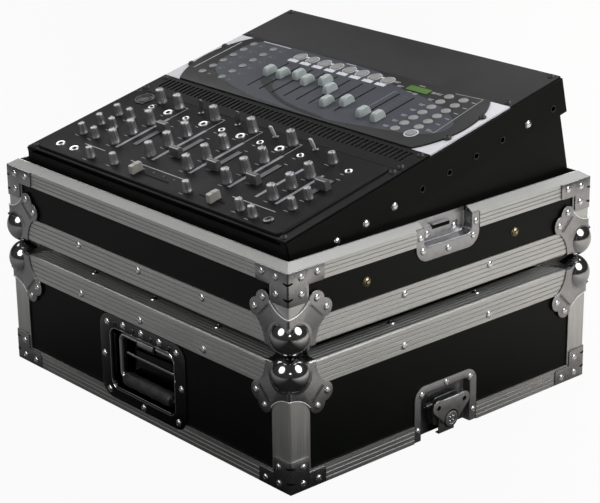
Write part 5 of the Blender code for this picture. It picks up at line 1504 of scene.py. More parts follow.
class CASE_OT_latches(bpy.types.Operator):
    """Builds the two butterfly latches on the lid, each with its dish, claw, hub and wing"""

    bl_idname = "case.latches"
    bl_label = "Latches"

    def execute(self, context):
        flange = open_path(LATCH_FOOT, *LATCH_FLANGE)
        recess = open_path(LATCH_FOOT, *LATCH_RECESS)
        dish = open_dish(flange, recess, LATCH_FLOOR, LATCH_BEAD)
        for hand, wall in SIDES:
            node = f"latch_dish_{hand}"
            add_piece(f"{node}_pressing", [placed(dish, wall)], "zinc_plate", "lid", "zinc_steel", (node,))
            add_piece(f"{node}_carrier", carried(self.carrier(), wall), "dark_steel", "lid", "zinc_steel")
            heads = rivets_on(LATCH_RIVETS, FLANGE_FRONT, wall)
            add_piece(f"{node}_rivets", heads, "rivet_steel", "lid", "zinc_steel")
            self.claw(hand, wall)
            self.hub(hand, wall @ shift(0, HUB_HEIGHT, 0))
            self.wing(hand, wall @ shift(0, HUB_HEIGHT, 0))
        return {"FINISHED"}

    def carrier(self):
        """Block behind the claw, with a cross pin and two springs on it."""
        front = CLAW_PROUD - CLAW_WALL - GAP
        x, y, depth = SPRING_PLACE
        block = plate(round_box(*CARRIER), LATCH_FLOOR - 0.0004, front, 0.0008)
        springs = [placed(coil(*SPRING), shift(side * x, y, depth)) for side in (-1, 1)]
        pin = tube([(across, y, depth) for across in (-PIN_HALF, 0.0, PIN_HALF)], PIN_RADIUS)
        return [block, *springs, pin]

    def claw(self, hand, wall):
        """Blade with a lip folded out along its foot."""
        node = f"latch_claw_{hand}"
        half, deep, thick = CLAW_LIP
        blade = plate(claw_outline(), CLAW_PROUD - CLAW_WALL, CLAW_PROUD, sizes().edge_round)
        lip_outline = rectangle(-half, half, CLAW_PROUD - deep, CLAW_PROUD - 0.0006)
        lip = plate(lip_outline, CLAW_FOOT, CLAW_FOOT + thick)
        upended = frame_of((1, 0, 0), (0, 0, 1), (0, 1, 0))
        metal = [placed(blade, wall), placed(lip, wall @ upended)]
        add_piece(f"{node}_blade", metal, "zinc_plate", f"claw_{hand}", "zinc_steel", (node,))

    def hub(self, hand, at):
        """Drum with four studs in its hollow, and a nearly black ring of painted shade for the gap between
        it and the wing.
        """
        node = f"latch_hub_{hand}"
        body = f"hub_{hand}"
        drum = placed(revolved(hub_profile(), 40), at)
        add_piece(f"{node}_drum", [drum], "zinc_plate", body, "zinc_steel", (node,))
        studs = []
        for turn in np.radians((45, 135, 225, 315)):
            across = HUB_STUD_CIRCLE * np.cos(turn)
            spot = shift(across, HUB_STUD_CIRCLE * np.sin(turn), HUB_PROUD - HUB_HOLLOW[2])
            studs.append(placed(rivet(*HUB_STUD, False), at @ spot))
        add_piece(f"{node}_studs", studs, "rivet_steel", body, "zinc_steel")
        outer, inner, rise = HUB_GAP
        gap = revolved([(outer, 0.0), (outer, rise), (inner, rise), (inner, 0.0)], 40)
        dark = [placed(gap, at @ shift(0, 0, WING_FRONT - WING_WALL))]
        add_piece(f"{node}_gap", dark, "slot_black", body, "zinc_steel")

    def wing(self, hand, at):
        """Leaf with a fold along its back and a collared hole in each ear."""
        low, high = WING_FRONT - WING_WALL, WING_FRONT
        node = f"latch_wing_{hand}"
        half, fold_y, fold_radius = WING_FOLD
        leaf = placed(plate(wing_outline(), low, high, sizes().edge_round), at)
        fold = tube([(x, fold_y, low) for x in (-half, 0.0, half)], fold_radius)
        metal = [leaf, placed(fold, at)]
        wide = EAR_HOLE + EAR_COLLAR
        collar = revolved([(wide, 0), (wide, 0.0003), (EAR_HOLE, 0.0004), (EAR_HOLE - 0.0002, 0)], 20)
        # Each ear's hole is a nearly black disc: painted shade where the hole is.
        hole = revolved([(EAR_HOLE, 0), (EAR_HOLE, 0.0002), (0, 0.0002)], 20)
        eyes = []
        for sign in (-1, 1):
            spot = at @ shift(sign * EAR[0], EAR[1] - HUB_HEIGHT, high - 0.0001)
            metal.append(placed(collar, spot))
            eyes.append(placed(hole, spot))
        add_piece(f"{node}_leaf", metal, "zinc_plate", f"wing_{hand}", "zinc_steel", (node,))
        add_piece(f"{node}_holes", eyes, "slot_black", f"wing_{hand}", "zinc_steel")


class CASE_OT_handle(bpy.types.Operator):
    """Builds the sprung handle and its dish"""

    bl_idname = "case.handle"
    bl_label = "Handle"

    def execute(self, context):
        height, depth = BAIL_PIVOT
        where = FRONT_FACE @ shift(0, height, depth)
        slot = "black_chrome"
        # The bead round the recess takes the bail's pale finish: a painted highlight on the black chrome
        # dish.
        line = at_height(round_box(*HANDLE_LINE, 10), FLANGE_FRONT + 0.0002)
        bead = [placed(tube(line, HANDLE_LINE_RADIUS, 10, True), FRONT_FACE)]
        add_piece("handle_dish_bead", bead, "bright_bar", "lid", slot)
        add_piece("handle_dish_pressing", self.dish(where), slot, "lid", slot, ("handle_dish",))
        heads = rivets_on(HANDLE_RIVETS, FLANGE_FRONT, FRONT_FACE, 0, HANDLE_RIVET)
        add_piece("handle_dish_rivets", heads, "rivet_steel", "lid", slot)
        studs = [(x, HANDLE_STUD_HEIGHT) for x in HANDLE_STUDS]
        domes = rivets_on(studs, FLANGE_FRONT, FRONT_FACE, 0, HANDLE_STUD)
        add_piece("handle_dish_studs", domes, slot, "lid", slot)
        loop = round_box(BAIL_HALF, -BAIL_DROP, 0, BAIL_BEND, 8)
        bail = placed(tube(at_height(loop, 0), BAIL_RADIUS, 18, True), where)
        add_piece("handle_bail_bar", [bail], "bright_bar", "handle", "chrome", ("handle_bail",))
        add_piece("handle_strap_face", self.strap_face(where), "bright_bar", "lid", slot)
        sleeve = [placed(self.grip(), where)]
        add_piece("handle_grip_sleeve", sleeve, "rubber", "handle", "rubber", ("handle_grip",))
        return {"FINISHED"}

    def dish(self, where):
        """Dish, and the strap and tongue that hold the bail."""
        flange, recess = round_box(*HANDLE_FLANGE, 8), round_box(*HANDLE_RECESS, 8)
        dish = closed_dish(flange, recess, HANDLE_FLOOR, HANDLE_BEAD)
        strap = plate(round_box(*STRAP), *STRAP_LEVELS)
        tongue = plate(round_box(*TONGUE), *TONGUE_LEVELS)
        return [placed(dish, FRONT_FACE), *carried((strap, tongue), where)]

    def strap_face(self, where):
        """The strap's bright face, and the cover of its spring, whose bright finish is a painted highlight
        on the dark dish.
        """
        face = plate(round_box(*STRAP_FACE), *STRAP_FACE_LEVELS)
        cover = plate(round_box(*SPRING_COVER), *SPRING_COVER_LEVELS)
        return [placed(face, where), placed(cover, FRONT_FACE @ shift(0, SPRING_COVER_HEIGHT, 0))]

    def grip(self):
        """Sleeve with soft finger swells: radius = r0 - swell cos(4 pi x / half), ends rounded."""
        x = np.linspace(-GRIP_HALF, GRIP_HALF, 61)
        length, drop = GRIP_END
        end = np.clip((GRIP_HALF - np.abs(x)) / length, 0, 1)
        swell = GRIP_SWELL * np.cos(x / GRIP_HALF * 4 * math.pi)
        radius = GRIP_RADIUS + drop * np.sqrt(1 - (1 - end) ** 2) - swell
        turn = np.arange(28) * 2 * math.pi / 28
        across = np.broadcast_to(x[:, None], (len(x), len(turn)))
        y = radius[:, None] * np.cos(turn) - BAIL_DROP
        z = radius[:, None] * np.sin(turn)
        return skin(np.stack([across, y, z], axis=-1))


# Rack: screws, bolts and print


def on_panel(x, s, height=0.0):
    """Matrix to a place x across and s down the slope, some way off the panels."""
    return RACK @ shift(x, -s, height)


def screw_lines(first, last):
    """Places down the slope of a panel's screws, and their rise, for its first and last unit."""
    start, end = first * RACK_UNIT, last * RACK_UNIT
    if start == DESK_SPAN[0]:
        return [start + down for down in DESK_SCREWS], DESK_RAISE * 0.6
    return [start + SCREW_INSET, end - SCREW_INSET], 0.0


class CASE_OT_fasteners(bpy.types.Operator):
    """Adds the panel screws, the rail screws and the brass bolts"""

    bl_idname = "case.fasteners"
    bl_label = "Screws and bolts"

    def execute(self, context):
        self.panel_screws()
        self.rail_screws()
        bolts = []
        for wall, sign in ((RIGHT_FACE, 1), (LEFT_FACE, -1)):
            for place in BOLT_PLACES:
                at = wall @ shift(sign * place, BOLT_LEVEL, FLANGE_BACK)
                bolts.append(placed(rivet(*BOLT_HEAD, False), at))
        add_piece("housing_bolt_heads", bolts, "brass", "base", "black_plywood")
        return {"FINISHED"}

    def panel_screws(self):
        """Domed black heads, each with the two bars of its cross in nearly black painted shade."""
        heads = []
        marks = []
        half, thick = SCREW_CROSS
        bar = plate(rectangle(-half, half, -thick, thick), *SCREW_CROSS_LEVELS)
        for first, last in zip(PANEL_BREAKS, PANEL_BREAKS[1:]):
            lines, rise = screw_lines(first, last)
            for s in lines:
                for x in (-SCREW_X, SCREW_X):
                    at = on_panel(x, s, rise)
                    heads.append(placed(rivet(*PANEL_SCREW, False), at))
                    marks += [placed(bar, at @ turning("z", turn)) for turn in (30, 120)]
        add_piece("panel_screws", heads, "black_screw", *ON_RACK)
        add_piece("panel_screw_recesses", marks, "slot_black", *ON_RACK)

    def rail_screws(self):
        """Heads and open eyelets down the outside of each rail, one to a unit."""
        heads = []
        holes = []
        for sign in (1, -1):
            for unit in range(10):
                down = RACK_UNIT * (unit + 0.5)
                at = RACK @ shift(sign * RAIL_X, -down, -RAIL_HOLE_DEPTH) @ turning("y", sign * 90)
                if unit in RAIL_SCREWS:
                    heads.append(placed(rivet(*RAIL_SCREW), at))
                else:
                    holes.append(placed(revolved(RAIL_EYE, 18), at))
        add_piece("rail_screws", heads, "rivet_steel", *ON_RACK)
        add_piece("rail_eyelets", holes, "black_screw", *ON_RACK)


def film(outline, level, layer=1):
    """A printed area: its outline a hair thick, on a face or on the print below it."""
    flat = np.asarray(outline, float) * (1, -1)
    return placed(plate(flat, level - FILM, level + FILM * layer), RACK)


def film_ring(outline, width, level):
    """A printed line of some width along an outline."""
    flat = np.asarray(outline, float) * (1, -1)
    return placed(ring(flat, width, level - FILM, level + FILM), RACK)


def circle(x, s, radius):
    """Outline of a printed circle."""
    return arc(x, s, radius, 0, 350, 35)


def word(level, x, s, half, tall=0.0006, steps=3):
    """A printed bar with round ends, which stands for a word beside a control."""
    return film(stadium(x, s, half, tall, steps), level)


def boxed(level, x, box, s=0.0):
    """A printed box, given by its sides from a place."""
    left, right, low, high = box
    return film(rectangle(x + left, x + right, s + low, s + high), level)


def ticks(level, x, right, first, pitch, count, half):
    """A column of short printed bars beside a slider."""
    return [word(level, x + right, first + pitch * step, half, *FINE_BAR) for step in range(count)]


def strip(start, end, half):
    """A thin printed line between two places."""
    a, b = np.array(start), np.array(end)
    side = (b - a)[::-1] * (-1, 1) / np.linalg.norm(b - a) * half
    return np.array([a - side, b - side, b + side, a + side])


def smooth_loop(points, steps=4):
    """Closed curve through points: p(t) = (2b + (c-a)t + (2a-5b+4c-d)t^2 + (3b-a-3c+d)t^3) / 2."""
    p = np.array(points, float)
    a, b, c, d = (np.roll(p, step, axis=0)[:, None] for step in (1, 0, -1, -2))
    t = (np.arange(steps) / steps)[None, :, None]
    curve = 2 * b + (c - a) * t + (2 * a - 5 * b + 4 * c - d) * t**2 + (3 * b - a - 3 * c + d) * t**3
    return (curve / 2).reshape(-1, 2)


def sheet_and_box(start, end, box_end, depth):
    """A rack panel's sheet and the folded box behind it, drawn down the slope."""
    outline = rectangle(-PANEL_HALF, PANEL_HALF, PANEL_SPLIT - end, -start - PANEL_SPLIT)
    sheet = plate(outline, -PANEL_WALL, 0, 0.0002)
    low, high = CHASSIS_MARGIN - box_end, -start - CHASSIS_MARGIN
    box = plate(round_box(CHASSIS_HALF, low, high, 0.0015, 2), -depth, -PANEL_WALL * 0.9, 0.0010)
    return [placed(sheet, RACK), placed(box, RACK)]


def desk_outline(margin=0.0):
    """The controller's dark face: straight long sides and bulged ends."""
    narrow, wide = DESK_FACE
    half = (DESK_SPAN[1] - DESK_SPAN[0]) / 2 - PANEL_SPLIT
    bulge = wide - narrow
    radius = (half * half + bulge * bulge) / (2 * bulge)
    angle = math.degrees(math.asin((half - margin) / (radius - margin)))
    middle = sum(DESK_SPAN) / 2
    right = arc(wide - radius, middle, radius - margin, -angle, angle, 24)
    left = arc(radius - wide, middle, radius - margin, 180 - angle, 180 + angle, 24)
    return np.concatenate([right, left])


class CASE_OT_desk_print(bpy.types.Operator):
    """Adds the controller's dark face, its bluish field, lines, labels and screen"""

    bl_idname = "case.desk_print"
    bl_label = "Controller print"

    def execute(self, context):
        level = DESK_RAISE
        sheet = sheet_and_box(*DESK_SPAN, DESK_SPAN[1], DESK_DEPTH)
        add_piece("desk_sheet", sheet, "pale_print", *ON_DESK, ("lighting_controller",))
        face = plate(desk_outline() * (1, -1), -PANEL_WALL, level, 0.0003)
        add_piece("desk_face", [placed(face, RACK)], "desk_dark", *ON_DESK)
        field = film(smooth_loop(FIELD), level, 0.5)
        add_piece("desk_field", [field], "desk_lens", *ON_DESK)
        crescent = film(smooth_loop(CRESCENT), level, 0.75)
        add_piece("desk_crescent", [crescent], "desk_dark", *ON_DESK)
        self.labels(level)
        self.scales(level)
        self.lines(level)
        self.slots(level)
        return {"FINISHED"}

    def labels(self, level):
        """Rings round the scene keys and the round key, and the white boxes by the scene keys."""
        pale = []
        radius, width = SCENE_RING
        for x in SCENE_PLACES:
            pale.append(film_ring(circle(x, SCENE_KEY_LINE, radius), width, level))
            pale.append(boxed(level, x, SCENE_LABEL))
        for x in SCENE_PLACES[:-1:2]:
            pale.append(boxed(level, x, SCENE_LINK))
        radius, width = ROUND_RING
        pale.append(film_ring(circle(*ROUND_KEY, radius), width, level))
        add_piece("desk_labels", pale, "pale_print", *ON_DESK)

    def scales(self, level):
        """Boxes and words by the left keys, and the ticks beside the sliders."""
        dim = []
        for x, s in LEFT_KEYS:
            right, down, half, radius = LEFT_BOX
            outline = stadium(x + right, s + down, half, radius)
            dim.append(film_ring(outline, LEFT_BOX_LINE, level))
            right, down, half, radius = LEFT_WORD
            dim.append(word(level, x + right, s + down, half, radius, 4))
        for x in SCENE_PLACES:
            dim += ticks(level, x, *SCENE_TICKS)
        dim += ticks(level, SPEED_PLACES[0], *SPEED_TICKS)
        add_piece("desk_scales", dim, "dim_print", *ON_DESK)

    def lines(self, level):
        """Thin lines, the words by the right keys and the screen, and two headings."""
        fine = [film(rectangle(*rule), level) for rule in DESK_RULES]
        for x, s in NEAR_KEYS:
            for right, down, half in NEAR_WORDS:
                fine.append(word(level, x + right, s + down, half, 0.0005))
        for x, s in FAR_KEYS:
            right, down, half = FAR_WORD
            fine.append(word(level, x + right, s + down, half))
        for start, end in zip(KEY_BRACKET, KEY_BRACKET[1:]):
            fine.append(film(strip(start, end, 0.0004), level))
        for x, s, half in SCREEN_WORDS:
            fine.append(word(level, x, s, half))
        for x, s, half, tall in DESK_HEADINGS:
            fine.append(word(level, x, s, half, tall))
        add_piece("desk_lines", fine, "fine_print", *ON_DESK)

    def slots(self, level):
        """Slots of the sliders in nearly black painted shade, and the screen on its dark surround."""
        dark = []
        for x in SCENE_PLACES + SPEED_PLACES:
            dark.append(boxed(level, x, (-FINGER_SLOT_HALF, FINGER_SLOT_HALF, *FINGER_SLOT)))
        left, right, low, high = SCREEN
        wide, tall = SCREEN_SURROUND
        dark.append(film(rectangle(left - wide, right + wide, low - tall, high + tall), level))
        add_piece("desk_slots", dark, "slot_black", *ON_DESK)
        rise, edge = SCREEN_GLASS
        glass = plate(rectangle(left, right, -high, -low), level, level + rise, edge)
        add_piece("desk_screen", [placed(glass, RACK)], "screen", *ON_DESK)


def key_cap(half_w, half_l, height, crown=0.0002):
    """A key with an oval plan, its side drawn in and its top crowned."""
    turn = np.arange(28) * 2 * math.pi / 28
    plan = np.column_stack([half_w * np.cos(turn), half_l * np.sin(turn)])
    rows = []
    for scale, rise in ((1.0, -0.0004), (1.0, height * 0.45), (0.97, height * 0.85), (0.90, height)):
        rows.append(at_height(plan * scale, rise))
    rows.append(at_height(plan * 0.45, height + crown * 0.8))
    rows.append(at_height(plan * 0.0, height + crown))
    return skin(np.array(rows), True, True, False)


class CASE_OT_desk_keys(bpy.types.Operator):
    """Adds the controller's soft keys"""

    bl_idname = "case.desk_keys"
    bl_label = "Controller keys"

    def execute(self, context):
        rows = [(x - 0.001, s, LEFT_KEY_SIZE) for x, s in LEFT_KEYS]
        self.keys("desk_left_keys", rows, "key_dim")
        rows = [(x, s, RIGHT_KEY_SIZE) for x, s in (*NEAR_KEYS, *FAR_KEYS)]
        rows += [(x, SCENE_KEY_LINE, (SCENE_KEY_RADIUS,) * 2) for x in SCENE_PLACES]
        rows.append((*ROUND_KEY, (ROUND_KEY_RADIUS,) * 2))
        self.keys("desk_keys", rows, "key_grey")
        return {"FINISHED"}

    def keys(self, name, rows, look):
        """One piece of keys, each with its place and its half sizes."""
        caps = [placed(key_cap(*size, KEY_RISE), on_panel(x, s, DESK_RAISE)) for x, s, size in rows]
        add_piece(name, caps, look, *ON_DESK)


def finger_cap():
    """A round fin: |y/a|^2.6 + |z/h|^2.6 = 1 from the side, crowned across, dipped along its top."""
    length, width, height = FINGER_CAP
    a = np.linspace(0, math.pi, 33)
    b = np.linspace(-math.pi / 2, math.pi / 2, 15)
    pull = 1 - 0.16 * (1 - np.cos(b)) ** 1.5
    waist = 1 - 0.12 * np.sin(a) ** 2
    dip = 1 - 0.07 * np.exp(-((np.cos(a) / 0.35) ** 2))
    x = np.sin(b)[None] * width / 2 * waist[:, None] * np.ones_like(a)[:, None]
    y = -length / 2 * (np.sign(np.cos(a)) * np.abs(np.cos(a)) ** (2 / 2.6))[:, None] * pull[None]
    z = height * (np.sin(a) ** (2 / 2.6) * dip)[:, None] * pull[None]
    rows = np.stack([x, y, z], axis=-1).transpose(1, 0, 2)
    return skin(rows)


def fader_cap(half_w, half_l, height, draw=0.80):
    """A block with a drawn-in short section, round upper edges and a ridge along its top."""
    rows = []
    levels = [(1.0, 0.0), (1.0, 0.10), (0.97, 0.55), (draw + 0.06, 0.88), (draw, 0.95)]
    levels += [(draw - 0.12, 0.965), (0.16, 0.955), (0.12, 1.0), (0.02, 1.0)]
    for long, rise in levels:
        wide = half_w * (1 - 0.07 * rise)
        shape = round_box(wide, -half_l * long, half_l * long, half_l * min(long, 0.3) * 0.5, 3)
        rows.append(at_height(shape, height * rise))
    return skin(np.array(rows))


class CASE_OT_sliders(bpy.types.Operator):
    """Builds every sliding cap"""

    bl_idname = "case.sliders"
    bl_label = "Sliders"

    def execute(self, context):
        seat = DESK_RAISE + GAP
        for index, (x, s) in enumerate(zip(SCENE_PLACES + SPEED_PLACES, FINGER_CENTRES)):
            number = index + 1
            cap = placed(finger_cap(), on_panel(x, s, seat))
            node = f"controller_slider_{number}"
            add_piece(f"{node}_cap", [cap], "cap_green", f"slider_{number}", "slider_grey", (node,))
        seat = MIXER_RAISE + GAP
        places = list(zip(FADER_PLACES, FADER_CENTRES))
        bodies = [f"fader_{index + 1}" for index in range(4)] + ["master"]
        nodes = [f"channel_fader_{index + 1}" for index in range(4)] + ["master_fader"]
        for (x, s), body, node in zip([*places, MASTER], bodies, nodes):
            cap = placed(fader_cap(*FADER_CAP), on_panel(x, s, seat))
            add_piece(f"{node}_cap", [cap], "fader_grey", body, "fader_grey", (node,))
        cap = placed(fader_cap(*CROSS_CAP), on_panel(CROSS_CENTRE, CROSS_LINE, seat))
        add_piece("crossfader_cap", [cap], "fader_pale", "crossfader", "fader_grey", ("crossfader",))
        cap = placed(fader_cap(*CROSS_CAP), on_panel(*CURVE_CAP, MIXER_RAISE))
        add_piece("curve_fader_cap", [cap], "fader_pale", "base", "fader_grey")
        return {"FINISHED"}


# Mixer


def raised(place):
    """A place read on the panels' plane, moved to where it lies on the mixer's raised face."""
    return place[0] + MIXER_SHIFT[0], place[1] + MIXER_SHIFT[1]


def on_mixer(place):
    """Matrix to a place on the mixer's face."""
    return on_panel(*raised(place), MIXER_RAISE)


def fluted_knob(foot, height, flutes=9):
    """A tall tapered knob: radius shrinks upwards and dips at each flute, top edge rounded."""
    steps = flutes * 6
    turn = np.arange(steps) * 2 * math.pi / steps
    levels = np.array([-0.03, 0.0, 0.10, 0.13, 0.5, 0.86, 0.94, 0.985, 1.0])
    reach = np.array([1.04, 1.04, 1.03, 0.99, 0.94, 0.89, 0.85, 0.76, 0.62])
    depth = np.array([0, 0, 0, 0.5, 1, 1, 0.7, 0.2, 0]) * 0.10
    dip = (0.5 + 0.5 * np.cos(turn * flutes)) ** 2
    radius = foot * reach[:, None] * (1 - depth[:, None] * dip)
    x = radius * np.cos(turn)
    y = radius * np.sin(turn)
    z = np.broadcast_to((levels * height)[:, None], x.shape)
    return skin(np.stack([x, y, z], axis=-1))


def pointer(foot, height):
    """White line over the top of a knob, from near its middle to its edge."""
    return plate(rectangle(-0.00035, 0.00035, 0.1 * foot, 0.66 * foot), height - 0.0001, height + 0.0002)


def button_profile(radius, rise):
    """A ring with a round shoulder, round a sunk seat for its button."""
    return [
        (radius, -0.0003),
        (radius, rise - 0.0010),
        (radius - 0.0003, rise - 0.0003),
        (radius - 0.0010, rise),
        (radius * 0.62, rise - 0.0003),
        (radius * 0.58, rise - 0.0010),
        (0, rise - 0.0010),
    ]


def flat_bat():
    """A toggle's lever: round stem that widens to a flat bar with a round end."""
    rows = []
    for rise, wide, thick in (
        (-0.0004, 0.0013, 0.0013),
        (0.0040, 0.0015, 0.0014),
        (0.0060, 0.0026, 0.0013),
        (0.0160, 0.0029, 0.0014),
        (0.0170, 0.0026, 0.0012),
        (0.0174, 0.0016, 0.0006),
    ):
        rows.append(at_height(round_box(wide, -thick, thick, thick * 0.7, 3), rise))
    return skin(np.array(rows))


class CASE_OT_mixer_controls(bpy.types.Operator):
    """Adds the mixer's knobs, buttons, toggles and sockets"""

    bl_idname = "case.mixer_controls"
    bl_label = "Mixer controls"

    def execute(self, context):
        knobs = []
        lines = []
        big = (sizes().knob_radius, sizes().knob_height)
        small = (sizes().small_knob_radius, sizes().small_knob_height)
        for places, size in ((KNOB_PLACES, big), (SMALL_KNOB_PLACES, small)):
            for number, place in enumerate(places):
                at = on_mixer(place) @ turning("z", 17 * (number % 5) - 20)
                knobs.append(placed(fluted_knob(*size), at))
                lines.append(placed(pointer(*size), at))
        add_piece("mixer_knobs", knobs, "knob_metal", *ON_MIXER, (), 40)
        add_piece("mixer_knob_lines", lines, "pale_print", *ON_MIXER)
        self.buttons()
        self.toggles()
        self.sockets()
        return {"FINISHED"}

    def buttons(self):
        """Bright rings, each with a black button in it."""
        rims = []
        tops = []
        for places, (radius, rise) in ((CUE_PLACES, CUE_BUTTON), (SMALL_BUTTON_PLACES, SMALL_BUTTON)):
            dome = [(radius * 0.50, rise - 0.0012), (radius * 0.44, rise - 0.0005), (0, rise - 0.0003)]
            for place in places:
                rims.append(placed(revolved(button_profile(radius, rise), 24), on_mixer(place)))
                tops.append(placed(revolved(dome, 18), on_mixer(place)))
        add_piece("mixer_button_rims", rims, "button_rim", *ON_MIXER)
        add_piece("mixer_button_tops", tops, "mixer_black", *ON_MIXER)

    def toggles(self):
        """Two dark levers that lean back and two pale ones that lean forward, on six-sided nuts."""
        dark = []
        pale = []
        nuts = []
        for number, place in enumerate(TOGGLE_PLACES):
            lean, bats = (-14, dark) if number < 2 else (15, pale)
            at = on_mixer(place)
            bats.append(placed(flat_bat(), at @ turning("x", lean)))
            nuts.append(placed(revolved(TOGGLE_NUT, 6), at))
        add_piece("mixer_dark_toggles", dark, "dark_steel", *ON_MIXER)
        add_piece("mixer_pale_toggles", pale, "bat_pale", *ON_MIXER)
        add_piece("mixer_toggle_nuts", nuts, "dark_steel", *ON_MIXER)

    def sockets(self):
        """Round socket at the top left with its two screws, and the nut of the headphone jack."""
        at = on_mixer(SOCKET)
        dark = [placed(revolved(SOCKET_FLANGE, 40), at), placed(revolved(SOCKET_INNER, 32), at)]
        for x, y in SOCKET_SCREWS:
            dark.append(placed(rivet(*SOCKET_SCREW, False), at @ shift(x, y, 0.0004)))
        metal = placed(revolved(JACK_NUT, 24), on_mixer(JACK))
        add_piece("mixer_socket", dark, "black_screw", *ON_MIXER)
        add_piece("mixer_jack", [metal], "dark_steel", *ON_MIXER)


class CASE_OT_mixer_print(bpy.types.Operator):
    """Adds the bars, arcs and ticks printed on the mixer"""

    bl_idname = "case.mixer_print"
    bl_label = "Mixer print"

    def execute(self, context):
        self.face()
        bars = []
        down = MIXER_SHIFT[1]
        for x in CHANNEL_BARS:
            bars += [boxed(MIXER_RAISE, x + MIXER_SHIFT[0], part, down) for part in CHANNEL_BAR]
        for x in MASTER_BARS:
            bars.append(boxed(MIXER_RAISE, x + MIXER_SHIFT[0], MASTER_BAR, down))
        add_piece("mixer_bars", bars, "grey_print", *ON_MIXER)
        self.marks(MIXER_RAISE)
        self.slots(MIXER_RAISE)
        return {"FINISHED"}

    def face(self):
        """The mixer's sheet and box, with its raised face."""
        start, end = MIXER_SPAN
        half, margin, corner, bevel = MIXER_FACE
        outline = round_box(half, margin - end, -start - margin, corner, 8)
        face = plate(outline, -0.0004, MIXER_RAISE, bevel)
        shapes = sheet_and_box(start, end, end - MIXER_FRONT_ROOM, MIXER_DEPTH)
        shapes.append(placed(face, RACK))
        add_piece("mixer_case", shapes, "mixer_black", *ON_MIXER, ("mixer",))

    def marks(self, level):
        """Dots round each knob, the faders' dim strips, ticks, and bars that stand for words."""
        dots = []
        marks = []
        for places, radius in ((KNOB_PLACES, KNOB_SCALE), (SMALL_KNOB_PLACES, SMALL_KNOB_SCALE)):
            right, down, half = KNOB_WORD
            for x, s in map(raised, places):
                for turn in np.radians(range(-140, 141, 35)):
                    spot = (x + radius * math.sin(turn), s - radius * math.cos(turn))
                    dots.append(film(arc(*spot, DOT_RADIUS, 0, 300, 5), level))
                marks.append(word(level, x + right, s + radius + down, half, *FINE_BAR))
        for x, low, high in self.fader_slots():
            left, right = FADER_STRIP
            dots.append(film(rectangle(x + left, x + right, low, high), level, 0.75))
            up, half = FADER_WORD
            marks.append(word(level, x, low + up, half, *FINE_BAR))
        for x in np.linspace(*CROSS_SLOT, 5):
            marks.append(boxed(level, x, CROSS_TICK, CROSS_LINE))
        right, down, half = BUTTON_WORD
        for x, s in map(raised, (*CUE_PLACES[:4], *SMALL_BUTTON_PLACES)):
            marks.append(word(level, x + right, s + down, half, *FINE_BAR))
        for left, right, s in HEADING_LINES:
            marks.append(word(level, (left + right) / 2, s, (right - left) / 2, 0.0006, 2))
        add_piece("mixer_dots", dots, "dim_print", *ON_MIXER)
        add_piece("mixer_marks", marks, "fine_print", *ON_MIXER)

    def fader_slots(self):
        """Place across and two ends down the slope of each channel's slot and the master's."""
        return [*((x, *FADER_SLOT) for x in FADER_PLACES), (MASTER[0], *MASTER_SLOT)]

    def slots(self, level):
        """Slots of every fader, in nearly black painted shade."""
        slots = []
        for x, low, high in self.fader_slots():
            slots.append(film(rectangle(x - SLOT_HALF, x + SLOT_HALF, low, high), level))
        short = (CURVE_SLOT, CURVE_CAP[1], CURVE_SLOT_HALF)
        for reach, s, half in ((CROSS_SLOT, CROSS_LINE, SLOT_HALF), short):
            slots.append(film(rectangle(*reach, s - half, s + half), level))
        add_piece("mixer_slots", slots, "slot_black", *ON_MIXER)


# Studio

CAMERA_PLACE = (1.7036, -1.4849, 0.9823)
CAMERA_YAW = 48.766
CAMERA_PITCH = 20.136
CAMERA_ROLL = -0.731
SENSOR_WIDTH = 36

# Each lamp's place, the height that it faces over the middle of the case, its size and its shape
LAMPS = {
    "key": ((1.80, 0.60, 1.50), 0.20, (1.5, 1.5), "ELLIPSE"),
    "fill": ((-0.20, -2.05, 1.50), 0.20, (1.5, 1.5), "ELLIPSE"),
    "back": ((-0.16, 1.38, 2.04), 0.25, (1.6, 1.4), "RECTANGLE"),
    "side": ((-1.59, 0.05, 1.86), 0.25, (1.6, 1.4), "RECTANGLE"),
    "eye": ((1.90, -1.58, 1.16), 0.20, (0.30, 0.30), "ELLIPSE"),
}
FLOOR_LEFT_SPAN = (-0.66, -0.15)
FLOOR_RIGHT_SPAN = (0.13, 0.62)
FLOOR_WARMTH = (1, 0.96, 0.90)
FLOOR_DROP = 0.0002
SWEEP_REACH = 9.0
SWEEP_BEND = (3.5, 1.5)
SWEEP_TOP = 7.0


def camera_turn():
    """Columns of the camera's axes: right, up and back, from its yaw, pitch and roll."""
    yaw, pitch, roll = (math.radians(a) for a in (CAMERA_YAW, CAMERA_PITCH, CAMERA_ROLL))
    ahead = np.array(
        [-math.sin(yaw) * math.cos(pitch), math.cos(yaw) * math.cos(pitch), -math.sin(pitch)]
    )
    level = np.cross(ahead, (0, 0, 1))
    level /= np.linalg.norm(level)
    upright = np.cross(level, ahead)
    right = math.cos(roll) * level + math.sin(roll) * upright
    up = math.cos(roll) * upright - math.sin(roll) * level
    made = np.eye(4)
    made[:3, 0], made[:3, 1], made[:3, 2] = right, up, -ahead
    made[:3, 3] = CAMERA_PLACE
    return made


def lamp(name, power):
    """A soft flat lamp that faces a point over the middle of the case."""
    place, height, size, shape = LAMPS[name]
    light = bpy.data.lights.new(f"{name}_lamp", "AREA")
    light.shape = shape
    light.size, light.size_y = size
    light.energy = power
    made = bpy.data.objects.new(f"{name}_lamp", light)
    bpy.context.scene.collection.objects.link(made)
    made.location = place
    ahead = np.array((0, 0, height)) - np.array(place)
    ahead /= np.linalg.norm(ahead)
    made.rotation_mode = "QUATERNION"
    made.rotation_quaternion = Vector(ahead.tolist()).to_track_quat("-Z", "Y")


